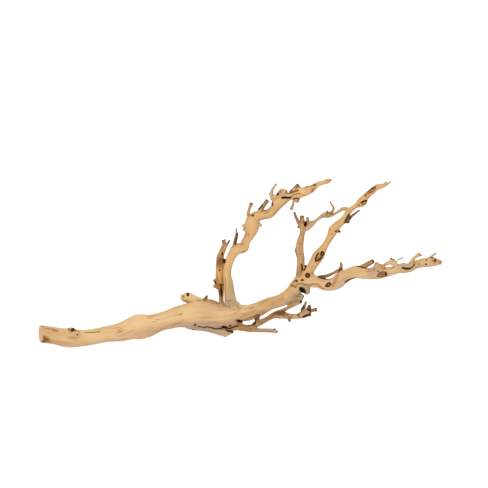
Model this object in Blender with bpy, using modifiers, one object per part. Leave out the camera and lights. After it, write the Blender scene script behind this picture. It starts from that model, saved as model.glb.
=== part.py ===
"""A bare, sandblasted branch for a terrarium: a sawn trunk, a fork of three limbs, an upright limb and twigs.

It grew as one piece, so it is one solid. Units are metres, +Z is up, and the branch lies on three low spots:
the belly of its trunk and two low twigs.
"""

import math
import random

import bpy
import numpy as np
from mathutils import Vector

MM = 0.001
NAME = "terrarium_branch"

# The branch is set out on an upright drawing sheet, seen from a low viewpoint in front of it. A knot of a limb
# is (across, up, back, radius) in millimetres: across and up are read on the sheet, whose corner is under the
# trunk's belly, and back is the knot's real distance behind that corner. The sheet leans as the sight does.
SIGHT_TILT = math.radians(22)
SIGHT_DISTANCE = 2400 * MM
SIGHT_ACROSS = 243.6 * MM
SIGHT_UP = 144.2 * MM

# The part's own frame: its origin is under the middle of its box.
ORIGIN_ACROSS = 239.15 * MM
ORIGIN_BACK = 53.59 * MM

RIGHT = np.array((1.0, 0.0, 0.0))
FORWARD = np.array((0.0, math.cos(SIGHT_TILT), -math.sin(SIGHT_TILT)))
UPWARD = np.array((0.0, math.sin(SIGHT_TILT), math.cos(SIGHT_TILT)))
EYE = RIGHT * SIGHT_ACROSS + UPWARD * SIGHT_UP - FORWARD * SIGHT_DISTANCE

# How finely the limbs are drawn, joined and then simplified. That takes off a thin skin, so it is put on first.
RING_STEP = 1.8 * MM
RING_SIDES = 18
SKIN = 0.35 * MM
END_REACH = 0.3
END_SHARE = 0.62
JOIN_CELL = 0.9 * MM
SMOOTH_ROUNDS = 5
FACE_TARGET = 10600

# The sawn end of the trunk faces left and a little up and to the front. The floor wears low spots flat.
SAW_ACROSS = -41.0
SAW_UP = 18.8
SAW_BACK = -9.0
SAW_FACING = (-0.92, -0.36, 0.15)
SAW_REACH = 60 * MM
FLOOR_REACH = 900 * MM

WOOD_COLOUR = (0.62, 0.40, 0.20, 1.0)
WOOD_ROUGHNESS = 0.72

TRUNK = [
    (-50.0, 19.5, -12.5, 11.2),
    (-40.6, 18.8, -9.0, 11.3),
    (-22.4, 16.4, -3.5, 11.5),
    (-8.4, 14.1, 1.0, 12.2),
    (1.4, 13.4, 4.3, 12.4),
    (15.4, 13.2, 6.0, 11.0),
    (37.8, 15.2, 10.5, 10.6),
    (54.6, 18.4, 15.5, 11.1),
    (71.4, 21.0, 20.5, 12.6),
    (85.4, 24.8, 23.5, 15.2),
    (96.6, 27.4, 26.0, 17.6),
    (112.0, 29.6, 29.5, 15.8),
    (124.6, 33.4, 32.5, 13.4),
    (138.6, 37.5, 36.0, 13.2),
    (151.2, 41.4, 39.0, 14.8),
    (165.2, 43.9, 42.0, 17.4),
    (182.0, 45.5, 45.5, 18.6),
    (196.0, 44.7, 48.5, 19.0),
    (210.0, 43.4, 52.0, 18.6),
    (224.0, 44.2, 56.0, 16.4),
    (238.0, 47.3, 60.5, 12.1),
    (252.0, 49.1, 65.0, 11.0),
    (266.0, 54.3, 69.0, 9.8),
    (280.0, 61.0, 73.5, 8.5),
    (294.0, 65.0, 78.0, 8.2),
    (308.0, 70.3, 82.5, 8.9),
    (317.8, 70.0, 85.5, 7.0),
    (325.0, 68.4, 87.0, 4.6),
]
FORK = [
    (299.6, 68.2, 79.5, 8.2),
    (310.8, 77.0, 83.5, 9.2),
    (318.4, 86.2, 87.0, 10.0),
    (324.8, 93.6, 89.5, 9.6),
    (333.2, 94.5, 90.0, 8.2),
]
LEFT_LIMB = [
    (321.3, 88.2, 90.0, 7.5),
    (322.4, 98.0, 92.0, 7.0),
    (322.7, 105.0, 94.5, 6.3),
    (323.0, 113.4, 97.5, 5.7),
    (322.9, 126.0, 102.0, 5.6),
    (320.8, 135.1, 106.0, 6.2),
    (321.4, 142.8, 109.0, 5.5),
    (322.7, 149.8, 112.0, 4.9),
    (324.8, 156.8, 115.0, 4.0),
    (326.2, 163.8, 117.0, 4.6),
    (327.6, 170.1, 118.0, 5.9),
    (327.9, 174.3, 118.0, 4.8),
]
REACHING_ARM = [
    (330.4, 167.4, 118.0, 5.2),
    (335.2, 170.2, 119.0, 4.6),
    (339.8, 173.0, 120.0, 3.2),
    (347.2, 178.8, 121.0, 2.0),
    (354.2, 183.6, 122.0, 3.0),
    (361.2, 184.9, 122.5, 4.3),
    (366.1, 185.0, 122.0, 2.8),
    (371.0, 186.6, 121.5, 1.7),
    (376.6, 190.0, 121.0, 1.8),
    (382.2, 193.1, 120.5, 2.5),
    (387.8, 193.4, 120.0, 2.1),
    (392.6, 192.5, 120.0, 1.3),
]
MIDDLE_LIMB = [
    (327.6, 98.0, 90.0, 7.2),
    (336.9, 109.8, 91.0, 6.4),
    (342.9, 119.3, 92.0, 7.1),
    (348.8, 128.9, 93.0, 8.0),
    (353.2, 136.2, 94.0, 6.0),
    (359.2, 146.0, 95.5, 4.7),
    (364.7, 155.4, 97.0, 5.7),
    (368.5, 164.3, 98.5, 7.4),
    (374.3, 171.1, 100.0, 6.0),
    (383.1, 178.9, 101.5, 5.1),
    (389.5, 188.9, 103.0, 4.4),
    (398.8, 196.6, 105.0, 3.4),
    (409.0, 203.2, 107.0, 6.6),
    (413.8, 210.3, 108.0, 4.9),
    (420.4, 216.2, 109.0, 4.4),
    (428.0, 222.4, 110.0, 4.5),
    (436.7, 225.5, 111.0, 3.4),
    (443.3, 228.0, 112.0, 2.2),
    (448.4, 231.6, 113.0, 1.1),
]
RIGHT_LIMB = [
    (326.2, 92.4, 89.0, 8.6),
    (334.6, 92.6, 86.0, 9.2),
    (341.6, 91.7, 83.0, 8.9),
    (347.9, 90.3, 80.5, 7.5),
    (355.6, 87.4, 77.0, 7.9),
    (364.0, 86.6, 73.0, 8.1),
    (372.4, 89.1, 69.5, 8.6),
    (380.1, 95.3, 66.0, 9.0),
    (387.8, 99.8, 63.0, 7.9),
    (394.8, 102.9, 60.0, 7.9),
    (401.8, 104.5, 57.5, 8.3),
    (410.2, 103.3, 54.5, 8.0),
    (418.6, 102.3, 52.0, 7.5),
    (427.0, 103.6, 49.5, 8.0),
    (436.1, 105.3, 47.0, 8.4),
    (443.1, 105.0, 45.5, 6.2),
    (450.8, 106.4, 44.0, 5.2),
    (459.2, 109.8, 43.0, 6.0),
    (467.6, 110.5, 42.0, 6.8),
    (476.0, 111.4, 42.0, 5.7),
    (483.0, 115.0, 42.5, 5.3),
    (491.4, 117.0, 43.5, 5.5),
    (499.8, 118.6, 45.0, 6.1),
    (508.2, 119.3, 47.0, 5.8),
    (515.2, 118.6, 49.0, 4.4),
    (519.6, 118.4, 50.0, 3.0),
]
UPRIGHT_LIMB = [
    (226.8, 54.6, 55.0, 9.8),
    (225.4, 63.0, 56.5, 9.0),
    (224.7, 70.0, 58.0, 8.1),
    (223.4, 79.8, 60.0, 7.2),
    (222.3, 89.6, 62.5, 6.6),
    (220.1, 99.4, 65.0, 5.8),
    (220.1, 107.8, 67.0, 5.7),
    (223.0, 119.0, 69.5, 6.4),
    (227.2, 128.8, 72.0, 6.6),
    (233.4, 136.8, 74.0, 7.8),
    (243.2, 139.6, 76.0, 7.2),
    (246.8, 148.3, 78.0, 5.9),
    (251.2, 155.7, 80.0, 6.9),
    (254.5, 165.2, 82.0, 9.6),
    (255.5, 175.6, 84.0, 10.8),
    (261.1, 182.8, 85.0, 8.0),
    (269.5, 185.0, 86.0, 7.0),
    (277.8, 186.4, 86.0, 7.0),
    (286.0, 193.6, 85.0, 6.6),
    (290.8, 201.1, 84.0, 8.7),
    (297.5, 206.0, 82.0, 7.5),
    (307.5, 211.0, 79.0, 5.3),
    (320.6, 214.8, 75.0, 6.5),
    (331.8, 219.0, 72.0, 6.4),
    (339.9, 222.4, 69.5, 4.8),
    (347.2, 227.9, 67.5, 3.5),
    (354.9, 230.4, 65.5, 3.0),
    (361.9, 232.7, 64.0, 3.2),
    (365.3, 233.9, 63.0, 1.9),
]
BROKEN_LIMB = [
    (212.8, 56.0, 61.0, 4.5),
    (211.8, 64.4, 64.0, 3.4),
    (211.8, 71.4, 66.0, 3.4),
    (211.4, 79.1, 67.5, 4.2),
    (210.0, 88.9, 69.0, 5.8),
    (209.6, 100.1, 70.5, 6.0),
    (209.7, 110.6, 72.5, 5.9),
    (210.4, 119.0, 75.0, 6.1),
    (210.3, 126.0, 77.5, 5.3),
    (212.7, 133.0, 80.0, 4.1),
    (215.4, 140.0, 82.5, 3.8),
    (216.4, 144.0, 84.0, 2.8),
]
BACK_STUB = [
    (156.6, 70.2, 69.0, 4.6),
    (160.2, 69.4, 68.5, 6.2),
    (165.2, 69.0, 67.5, 7.3),
    (173.6, 64.2, 66.0, 8.1),
    (183.4, 60.2, 63.5, 8.4),
    (193.2, 58.8, 60.5, 8.4),
    (201.6, 55.3, 57.5, 8.0),
]
LOWER_SPLINTER = [
    (159.0, 31.4, 37.5, 3.2),
    (166.6, 28.7, 38.0, 3.5),
    (175.0, 26.6, 38.5, 3.2),
    (184.8, 26.0, 39.0, 3.4),
    (196.0, 24.2, 39.0, 3.8),
    (205.8, 22.0, 37.0, 4.4),
    (214.2, 20.2, 34.0, 4.6),
    (221.2, 20.7, 33.0, 3.6),
    (228.4, 21.3, 33.0, 2.0),
]
LOWER_BRANCH = [
    (218.4, 28.7, 47.0, 5.0),
    (226.8, 27.4, 46.0, 4.4),
    (235.0, 28.0, 47.0, 4.5),
    (245.0, 26.7, 48.0, 4.5),
    (253.4, 25.8, 48.5, 5.0),
    (260.4, 25.8, 49.5, 3.8),
]
LOW_TWIG = [
    (257.6, 24.4, 48.8, 3.0),
    (266.0, 23.4, 48.4, 2.3),
    (277.2, 23.2, 48.2, 2.3),
    (285.6, 22.4, 47.6, 2.4),
    (288.6, 21.4, 45.4, 2.3),
    (290.6, 21.0, 45.0, 1.5),
]
BACKWARD_TWIG = [
    (254.8, 25.9, 50.0, 4.2),
    (260.4, 31.8, 57.0, 4.2),
    (267.4, 34.8, 63.0, 3.7),
    (277.2, 39.8, 71.0, 3.1),
    (285.6, 44.5, 78.0, 4.0),
    (294.0, 46.2, 84.0, 5.8),
    (302.4, 44.1, 90.5, 4.3),
    (310.8, 43.0, 94.4, 3.2),
    (319.2, 43.4, 96.2, 3.1),
    (327.6, 46.9, 101.2, 5.5),
    (333.9, 49.9, 105.6, 5.2),
]

# Stubs, twigs, thorns and splinters, each as short as it is on the branch.
TWIGS = {
    "link_to_trunk": [(261.8, 49.0, 65.0, 3.6), (262.1, 41.3, 62.0, 3.2), (261.8, 34.3, 58.0, 3.6)],
    "lower_web": [(234.5, 34.5, 52.0, 3.6), (240.5, 33.4, 53.0, 2.8)],
    "splinter_foot": [(216.0, 18.9, 33.0, 2.9), (217.4, 14.4, 30.2, 1.7)],
    "splinter_heel": [(217.0, 17.6, 31.8, 2.4), (223.6, 19.4, 32.6, 2.2)],
    "low_twig_thorn": [(286.3, 23.6, 47.4, 1.6), (286.8, 26.2, 47.6, 1.0)],
    "thin_twig": [
        (295.4, 50.0, 84.0, 2.7),
        (303.8, 54.0, 79.0, 2.2),
        (313.6, 59.2, 73.5, 2.5),
        (323.6, 63.8, 69.0, 2.2),
    ],
    "thin_twig_web": [(305.0, 57.6, 78.0, 1.9), (315.0, 62.2, 75.0, 2.6)],
    "twig_knee": [(306.6, 40.4, 88.4, 2.5), (307.5, 36.2, 82.6, 1.4)],
    "tangle_spike": [(325.0, 51.1, 99.5, 2.4), (328.6, 58.1, 98.5, 1.9), (330.6, 63.6, 97.5, 1.2)],
    "tangle_peak": [(334.0, 54.0, 104.6, 3.2), (336.0, 58.6, 105.6, 1.7)],
    "tangle_spur": [(336.0, 50.7, 104.6, 3.0), (341.6, 52.2, 106.6, 2.1), (345.2, 54.4, 107.6, 1.2)],
    "tangle_tip": [(340.5, 51.6, 106.1, 1.9), (345.8, 50.8, 107.6, 1.2)],
    "tangle_root": [(333.2, 46.2, 102.4, 2.9), (337.4, 44.3, 101.0, 1.3)],
    "fork_lump": [(329.0, 86.8, 86.0, 5.8), (331.0, 81.0, 84.5, 5.5), (331.2, 75.9, 84.0, 4.8)],
    "fork_back": [(317.0, 84.6, 95.0, 5.6), (324.4, 80.6, 95.5, 5.0), (330.6, 78.6, 94.5, 3.6)],
    "fork_web": [(328.2, 109.4, 92.0, 3.3), (330.6, 113.4, 92.5, 2.5)],
    "limb_web": [(337.0, 100.0, 88.0, 3.2), (341.2, 101.4, 86.5, 2.6)],
    "left_limb_spike": [
        (322.0, 170.8, 117.0, 2.9),
        (318.8, 176.4, 115.0, 2.2),
        (315.7, 183.4, 113.0, 1.8),
        (314.0, 188.9, 111.5, 1.2),
    ],
    "left_limb_stub": [(325.5, 173.6, 119.0, 3.3), (325.2, 179.2, 120.5, 3.0), (325.1, 183.0, 121.5, 2.7)],
    "left_limb_snag": [(332.2, 172.9, 117.0, 2.8), (332.8, 178.5, 116.0, 2.0), (332.0, 181.8, 115.5, 1.2)],
    "snag_root": [(334.0, 173.2, 118.0, 3.0), (338.4, 175.6, 119.0, 1.9)],
    "left_limb_thorn": [(321.7, 168.3, 117.0, 1.7), (318.2, 167.6, 116.0, 1.2)],
    "hooked_twig": [
        (364.7, 187.0, 121.0, 2.0),
        (367.9, 191.2, 119.0, 1.6),
        (369.0, 194.9, 118.0, 1.5),
        (366.0, 199.4, 117.0, 1.2),
        (363.9, 204.2, 116.0, 1.0),
    ],
    "arm_bump": [(359.8, 187.2, 122.0, 2.2), (360.4, 190.6, 121.5, 1.2)],
    "middle_limb_spur": [(373.1, 162.4, 96.0, 2.2), (378.4, 161.4, 94.5, 1.6)],
    "middle_limb_burr": [(386.9, 174.8, 98.5, 3.8), (390.2, 183.4, 99.5, 3.0)],
    "middle_limb_twig": [
        (389.5, 178.5, 98.0, 2.6),
        (393.4, 182.4, 96.5, 1.9),
        (399.0, 186.8, 94.5, 1.4),
        (405.2, 191.5, 92.5, 1.2),
    ],
    "middle_tip_burr": [(440.5, 227.9, 111.5, 1.8), (442.8, 230.8, 111.5, 1.1)],
    "right_limb_hump": [(429.0, 111.4, 49.0, 4.6), (429.8, 117.8, 48.5, 2.3)],
    "hump_shoulder": [(433.4, 112.2, 48.4, 4.0), (438.6, 113.2, 47.4, 3.0)],
    "right_limb_arch": [
        (437.5, 112.4, 46.0, 2.8),
        (442.4, 115.7, 45.0, 2.5),
        (448.0, 118.4, 44.0, 3.4),
        (454.1, 116.3, 43.5, 3.6),
        (458.9, 112.7, 43.0, 3.5),
    ],
    "arch_thorn": [(448.7, 120.4, 44.0, 1.9), (450.2, 124.4, 43.5, 1.2)],
    "arch_nub": [(451.4, 119.6, 43.5, 2.3), (453.8, 122.4, 43.0, 1.4)],
    "arch_shoulder": [(453.6, 118.2, 43.2, 2.4), (457.4, 119.4, 42.6, 1.4)],
    "forked_twig": [
        (475.3, 112.0, 41.5, 2.7),
        (477.8, 118.1, 40.0, 2.4),
        (480.9, 123.3, 38.5, 2.0),
        (485.1, 127.8, 37.0, 1.7),
        (489.0, 131.9, 36.0, 1.1),
    ],
    "forked_twig_prong": [(485.0, 126.8, 37.0, 1.6), (491.8, 128.9, 35.5, 1.4)],
    "end_twig": [(501.2, 122.5, 46.0, 2.3), (506.1, 126.9, 47.0, 1.5), (512.4, 131.1, 48.5, 1.4)],
    "hidden_stub": [
        (404.0, 109.8, 62.0, 3.1),
        (412.5, 113.5, 62.0, 3.2),
        (420.5, 118.0, 61.5, 3.1),
        (424.6, 120.2, 61.0, 2.9),
    ],
    "hidden_vine": [
        (345.8, 97.3, 86.0, 2.1),
        (351.4, 98.5, 84.0, 2.3),
        (358.6, 99.3, 81.5, 2.2),
        (365.4, 102.0, 79.0, 1.9),
        (372.4, 105.5, 76.0, 1.9),
        (378.2, 109.0, 73.0, 2.6),
        (379.7, 114.0, 71.5, 2.0),
        (379.0, 118.4, 71.0, 1.2),
    ],
    "hidden_vine_nub": [(379.4, 113.2, 71.5, 1.7), (381.6, 114.6, 71.0, 1.1)],
    "hidden_vine_root": [(378.0, 106.8, 72.5, 3.0), (383.4, 104.6, 70.0, 3.2)],
    "upright_root": [(233.6, 61.8, 55.0, 2.9), (238.2, 56.4, 56.0, 3.2)],
    "upright_spike": [(229.6, 140.7, 73.5, 2.5), (231.8, 149.8, 72.0, 2.3), (234.0, 158.9, 70.5, 2.2)],
    "upright_spike_tip": [(232.6, 157.6, 71.0, 1.5), (232.8, 165.8, 70.0, 1.1)],
    "upright_stub": [(249.0, 184.0, 84.0, 2.3), (251.0, 193.2, 83.0, 1.8), (254.1, 201.0, 82.5, 2.4)],
    "upright_snag": [(265.4, 190.2, 88.5, 3.6), (271.4, 198.3, 91.0, 2.8), (276.3, 205.2, 93.0, 2.8)],
    "curved_twig": [
        (284.4, 207.2, 85.0, 3.2),
        (282.0, 213.4, 84.4, 3.1),
        (282.5, 218.0, 83.6, 2.2),
        (285.0, 222.9, 82.5, 1.9),
        (289.3, 228.1, 81.0, 1.5),
    ],
    "knob_root": [(286.4, 209.0, 83.5, 3.4), (291.0, 211.0, 82.5, 3.4)],
    "upright_knob": [(291.9, 211.4, 82.0, 4.2), (297.3, 216.9, 81.0, 4.8), (302.6, 216.2, 79.5, 4.0)],
    "flake": [(308.8, 216.2, 78.0, 2.6), (313.9, 222.4, 77.0, 2.2), (319.4, 227.4, 76.0, 2.2)],
    "flake_root": [(318.8, 216.5, 75.5, 3.2), (321.2, 224.6, 75.6, 2.2)],
    "hanging_twig": [(313.8, 207.2, 75.5, 1.9), (312.2, 199.5, 74.0, 1.6), (309.9, 192.6, 73.0, 2.2)],
    "curled_lump": [(314.6, 208.3, 74.5, 3.3), (319.7, 205.8, 73.5, 4.8)],
    "left_burr": [(246.3, 169.6, 81.0, 3.6), (241.4, 170.4, 80.5, 1.6)],
    "left_burr_low": [(246.3, 164.8, 81.0, 3.6), (242.4, 164.8, 80.5, 1.8)],
    "broken_splinter_left": [(215.2, 141.2, 83.0, 1.8), (214.1, 145.6, 84.0, 1.3), (213.7, 149.9, 85.0, 1.0)],
    "broken_splinter_middle": [(216.6, 142.8, 84.0, 1.7), (216.8, 151.0, 86.0, 1.0)],
    "broken_splinter_right": [
        (218.8, 141.4, 83.5, 1.9),
        (220.9, 145.6, 84.5, 1.4),
        (223.4, 149.4, 85.5, 1.0),
    ],
    "broken_thorn_low": [(206.1, 84.0, 68.0, 3.2), (200.6, 85.2, 67.0, 1.4)],
    "broken_thorn_high": [(205.4, 94.4, 69.5, 3.0), (200.2, 93.1, 68.5, 1.4)],
    "broken_flake": [(206.0, 86.4, 68.5, 3.4), (205.6, 92.4, 69.0, 3.4)],
    "broken_knob": [(211.5, 120.4, 75.0, 3.6), (217.2, 120.6, 72.5, 2.9)],
    "back_stub_spike": [(189.4, 66.0, 61.0, 3.0), (192.1, 72.0, 61.5, 1.2)],
    "back_ridge": [(196.0, 62.6, 60.5, 5.0), (202.4, 60.4, 60.0, 4.6), (208.0, 56.4, 60.0, 4.2)],
    "trunk_burr": [(-6.0, 19.6, 1.0, 7.2), (1.4, 20.0, 2.0, 8.2), (8.0, 19.0, 4.5, 6.6)],
}

# Hollows pressed into the surface that faces the viewpoint: (across, up, width, height, lean, depth), the lean
# in degrees.
HOLLOWS = {
    "trunk_burr": (3.4, 24.6, 4.8, 2.6, 15, 3.0),
    "under_trunk": (238.6, 35.8, 8.0, 3.0, -12, 3.5),
    "back_stub_end": (165.0, 74.0, 3.2, 5.6, 8, 5.0),
    "left_limb_head": (329.6, 172.2, 3.6, 5.6, -12, 5.0),
    "fork_knot": (332.4, 100.8, 6.4, 6.6, 0, 1.8),
    "fork_hole": (325.2, 79.4, 5.6, 7.0, 40, 7.0),
    "right_limb_ring": (361.8, 87.0, 7.0, 5.4, 30, 1.8),
    "middle_limb_knot": (348.8, 126.8, 6.8, 12.0, -20, 2.0),
    "middle_limb_socket": (353.6, 130.8, 4.4, 4.4, 0, 3.0),
    "middle_limb_eye": (411.6, 203.0, 9.0, 5.6, 20, 2.6),
    "right_limb_eye": (436.8, 101.4, 10.0, 6.0, 12, 2.2),
    "upright_crack": (301.6, 209.2, 10.0, 2.8, 0, 3.0),
    "upright_knob": (292.9, 215.4, 6.4, 3.4, 30, 2.6),
    "broken_slit": (212.4, 78.6, 2.6, 13.0, 4, 3.0),
}


def place(across, up, back):
    """The point drawn at (across, up) on the sheet that lies this far back, and its scale against the drawing."""
    ray = RIGHT * across * MM + UPWARD * up * MM - EYE
    reach = (back * MM - EYE[1]) / ray[1]
    return EYE + ray * reach, reach


def drawn_at(points):
    """Where points are drawn on the sheet, across and up in millimetres, and their distance along the sight."""
    rays = points - EYE
    reach = rays @ FORWARD
    on_sheet = rays * (SIGHT_DISTANCE / reach)[:, None]
    across = (on_sheet[:, 0] + EYE[0]) / MM
    up = (on_sheet @ UPWARD + EYE @ UPWARD) / MM
    return across, up, reach


def smooth_run(knots, step):
    """Rows (x, y, z, radius) about a step apart, on a smooth curve through the knots."""
    rows = []
    for across, up, back, radius in knots:
        point, scale = place(across, up, back)
        rows.append((*point, radius * MM * scale + SKIN))
    rows = np.array(rows)
    gaps = np.linalg.norm(np.diff(rows[:, :3], axis=0), axis=1)
    slopes = np.diff(rows, axis=0) / gaps[:, None]
    tangents = np.concatenate([slopes[:1], slopes[1:], slopes[-1:]])
    inner = slopes[:-1] * gaps[1:, None] + slopes[1:] * gaps[:-1, None]
    tangents[1:-1] = inner / (gaps[:-1] + gaps[1:])[:, None]
    run = []
    for i, gap in enumerate(gaps):
        count = max(2, round(gap / step))
        for t in np.arange(count) / count:
            start = (1 + 2 * t) * (1 - t) ** 2 * rows[i] + t * (1 - t) ** 2 * gap * tangents[i]
            end = t * t * (3 - 2 * t) * rows[i + 1] - t * t * (1 - t) * gap * tangents[i + 1]
            run.append(start + end)
    run.append(rows[-1])
    return np.array(run)


def gnarl(draw, along, angle):
    """How far a limb's section strays from round, as a share of its radius: slow, twisting lobes and shallow waves."""
    stray = np.zeros(np.broadcast(along, angle).shape)
    for lobes, size, length in ((2, 0.060, 60), (3, 0.035, 40), (1, 0.045, 22), (5, 0.018, 30)):
        turn = draw.uniform(-1.2, 1.2)
        phase = draw.uniform(0, math.tau)
        sway = draw.uniform(0, math.tau)
        lean = phase + turn * along / (length * MM) + 0.8 * np.sin(along / (length * MM) * 2.1 + sway)
        stray = stray + size * np.cos(lobes * angle + lean)
    return stray


def with_blunt_ends(run):
    """The run with a smaller ring past each end, so that a stub ends like worn wood and not like a cut rod."""
    rings = [run]
    for end, inner in ((0, 1), (-1, -2)):
        outward = run[end, :3] - run[inner, :3]
        outward /= np.linalg.norm(outward)
        radius = run[end, 3]
        tip = np.append(run[end, :3] + outward * radius * END_REACH, radius * END_SHARE)
        rings.insert(0 if end == 0 else len(rings), tip[None, :])
    return np.concatenate(rings)


def limb_mesh(name, knots):
    """The limb's rings of points and faces: a loft of gnarled sections along its run, closed at both ends."""
    draw = random.Random(name)
    run = with_blunt_ends(smooth_run(knots, RING_STEP))
    centres = run[:, :3]
    steps = np.gradient(centres, axis=0)
    steps /= np.linalg.norm(steps, axis=1)[:, None]
    along = np.concatenate([[0], np.cumsum(np.linalg.norm(np.diff(centres, axis=0), axis=1))])
    side = np.cross(steps[0], FORWARD)
    angle = np.arange(RING_SIDES) * math.tau / RING_SIDES
    stray = gnarl(draw, along[:, None], angle[None, :])
    points = []
    for centre, step, radius, wave in zip(centres, steps, run[:, 3], stray):
        side = side - step * (side @ step)
        side /= np.linalg.norm(side)
        other = np.cross(step, side)
        reach = radius * (1 + wave)
        ring = np.outer(np.cos(angle) * reach, side) + np.outer(np.sin(angle) * reach, other)
        points.extend(centre + ring)
    faces = []
    for i in range(len(centres) - 1):
        for j in range(RING_SIDES):
            low = i * RING_SIDES
            high = low + RING_SIDES
            k = (j + 1) % RING_SIDES
            faces.append((low + j, low + k, high + k, high + j))
    last = (len(centres) - 1) * RING_SIDES
    faces.append(tuple(range(RING_SIDES - 1, -1, -1)))
    faces.append(tuple(range(last, last + RING_SIDES)))
    return points, faces


def all_limbs():
    """Every limb, stub and twig by name."""
    limbs = {
        "trunk": TRUNK,
        "fork": FORK,
        "left_limb": LEFT_LIMB,
        "reaching_arm": REACHING_ARM,
        "middle_limb": MIDDLE_LIMB,
        "right_limb": RIGHT_LIMB,
        "upright_limb": UPRIGHT_LIMB,
        "broken_limb": BROKEN_LIMB,
        "back_stub": BACK_STUB,
        "lower_splinter": LOWER_SPLINTER,
        "lower_branch": LOWER_BRANCH,
        "low_twig": LOW_TWIG,
        "backward_twig": BACKWARD_TWIG,
    }
    limbs.update(TWIGS)
    return limbs


def grown_together():
    """One mesh of all the limbs, joined where they cross, as they grew."""
    points = []
    faces = []
    for name, knots in all_limbs().items():
        limb_points, limb_faces = limb_mesh(name, knots)
        first = len(points)
        points.extend(limb_points)
        faces.extend(tuple(first + corner for corner in face) for face in limb_faces)
    mesh = bpy.data.meshes.new("limbs")
    mesh.from_pydata([tuple(point) for point in points], [], faces)
    limbs = bpy.data.objects.new("limbs", mesh)
    bpy.context.scene.collection.objects.link(limbs)
    joined = limbs.modifiers.new("join", "REMESH")
    joined.mode = "VOXEL"
    joined.voxel_size = JOIN_CELL
    graph = bpy.context.evaluated_depsgraph_get()
    grown = bpy.data.meshes.new_from_object(limbs.evaluated_get(graph))
    bpy.data.objects.remove(limbs)
    bpy.data.meshes.remove(mesh)
    return grown


def corners_of(mesh):
    """The mesh's points as rows, and its edges as pairs."""
    points = np.empty(len(mesh.vertices) * 3)
    mesh.vertices.foreach_get("co", points)
    edges = np.empty(len(mesh.edges) * 2, np.int32)
    mesh.edges.foreach_get("vertices", edges)
    return points.reshape(-1, 3), edges.reshape(-1, 2)


def soften(points, edges):
    """Smooths the cell steps away without thinning the twigs: each round moves in and then out again."""
    count = np.bincount(edges.ravel(), minlength=len(points))[:, None]
    for _ in range(SMOOTH_ROUNDS):
        for strength in (0.55, -0.57):
            total = np.zeros_like(points)
            np.add.at(total, edges[:, 0], points[edges[:, 1]])
            np.add.at(total, edges[:, 1], points[edges[:, 0]])
            points = points + strength * (total / count - points)
    return points


def press_hollows(points, normals):
    """Presses each hollow into the nearest surface that faces the viewpoint."""
    for across, up, width, height, lean, depth in HOLLOWS.values():
        at_across, at_up, reach = drawn_at(points)
        turn = math.radians(lean)
        right = (at_across - across) * math.cos(turn) + (at_up - up) * math.sin(turn)
        high = (at_up - up) * math.cos(turn) - (at_across - across) * math.sin(turn)
        away = np.hypot(right / (width / 2), high / (height / 2))
        facing = (normals @ FORWARD < 0.05) & (away < 1.25)
        if not facing.any():
            continue
        near = facing & (reach < reach[facing].min() + 9 * MM)
        share = np.clip((1.25 - away[near]) / 0.6, 0, 1)
        push = share * share * (3 - 2 * share) * depth * MM
        points[near] += push[:, None] * FORWARD
    return points


def main_body(mesh):
    """Keeps the one outer skin, without any loose scrap or sealed bubble."""
    points, edges = corners_of(mesh)
    label = np.arange(len(points))
    while True:
        lowest = np.minimum(label[edges[:, 0]], label[edges[:, 1]])
        before = label.copy()
        np.minimum.at(label, edges[:, 0], lowest)
        np.minimum.at(label, edges[:, 1], lowest)
        label = label[label]
        if (label == before).all():
            break
    names, sizes = np.unique(label, return_counts=True)
    keep = label == names[sizes.argmax()]
    if keep.all():
        return mesh
    faces = [tuple(face.vertices) for face in mesh.polygons if keep[face.vertices[0]]]
    index = np.cumsum(keep) - 1
    body = bpy.data.meshes.new(mesh.name)
    kept = [tuple(int(index[corner]) for corner in face) for face in faces]
    body.from_pydata([tuple(point) for point in points[keep]], [], kept)
    return body


def wood():
    """Bare, dry, honey-coloured wood."""
    material = bpy.data.materials.new("wood")
    material.use_nodes = True
    shader = material.node_tree.nodes["Principled BSDF"]
    shader.inputs["Base Color"].default_value = WOOD_COLOUR
    shader.inputs["Roughness"].default_value = WOOD_ROUGHNESS
    shader.inputs["Metallic"].default_value = 0.0
    return material


def cutter(name, face_middle, facing, size, collection):
    """A cube that a Boolean takes away: all that lies beyond its face, which points back along facing."""
    facing = Vector(facing).normalized()
    turn = facing.to_track_quat("X", "Z").to_euler()
    middle = face_middle + facing * size / 2
    bpy.ops.mesh.primitive_cube_add(size=size, location=middle, rotation=turn)
    box = bpy.context.object
    box.name = name
    box.hide_render = True
    box.display_type = "WIRE"
    for other in box.users_collection:
        other.objects.unlink(box)
    collection.objects.link(box)
    return box


def cut(part, box):
    """Takes a box away from the part."""
    modifier = part.modifiers.new(box.name, "BOOLEAN")
    modifier.operation = "DIFFERENCE"
    modifier.object = box


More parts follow.
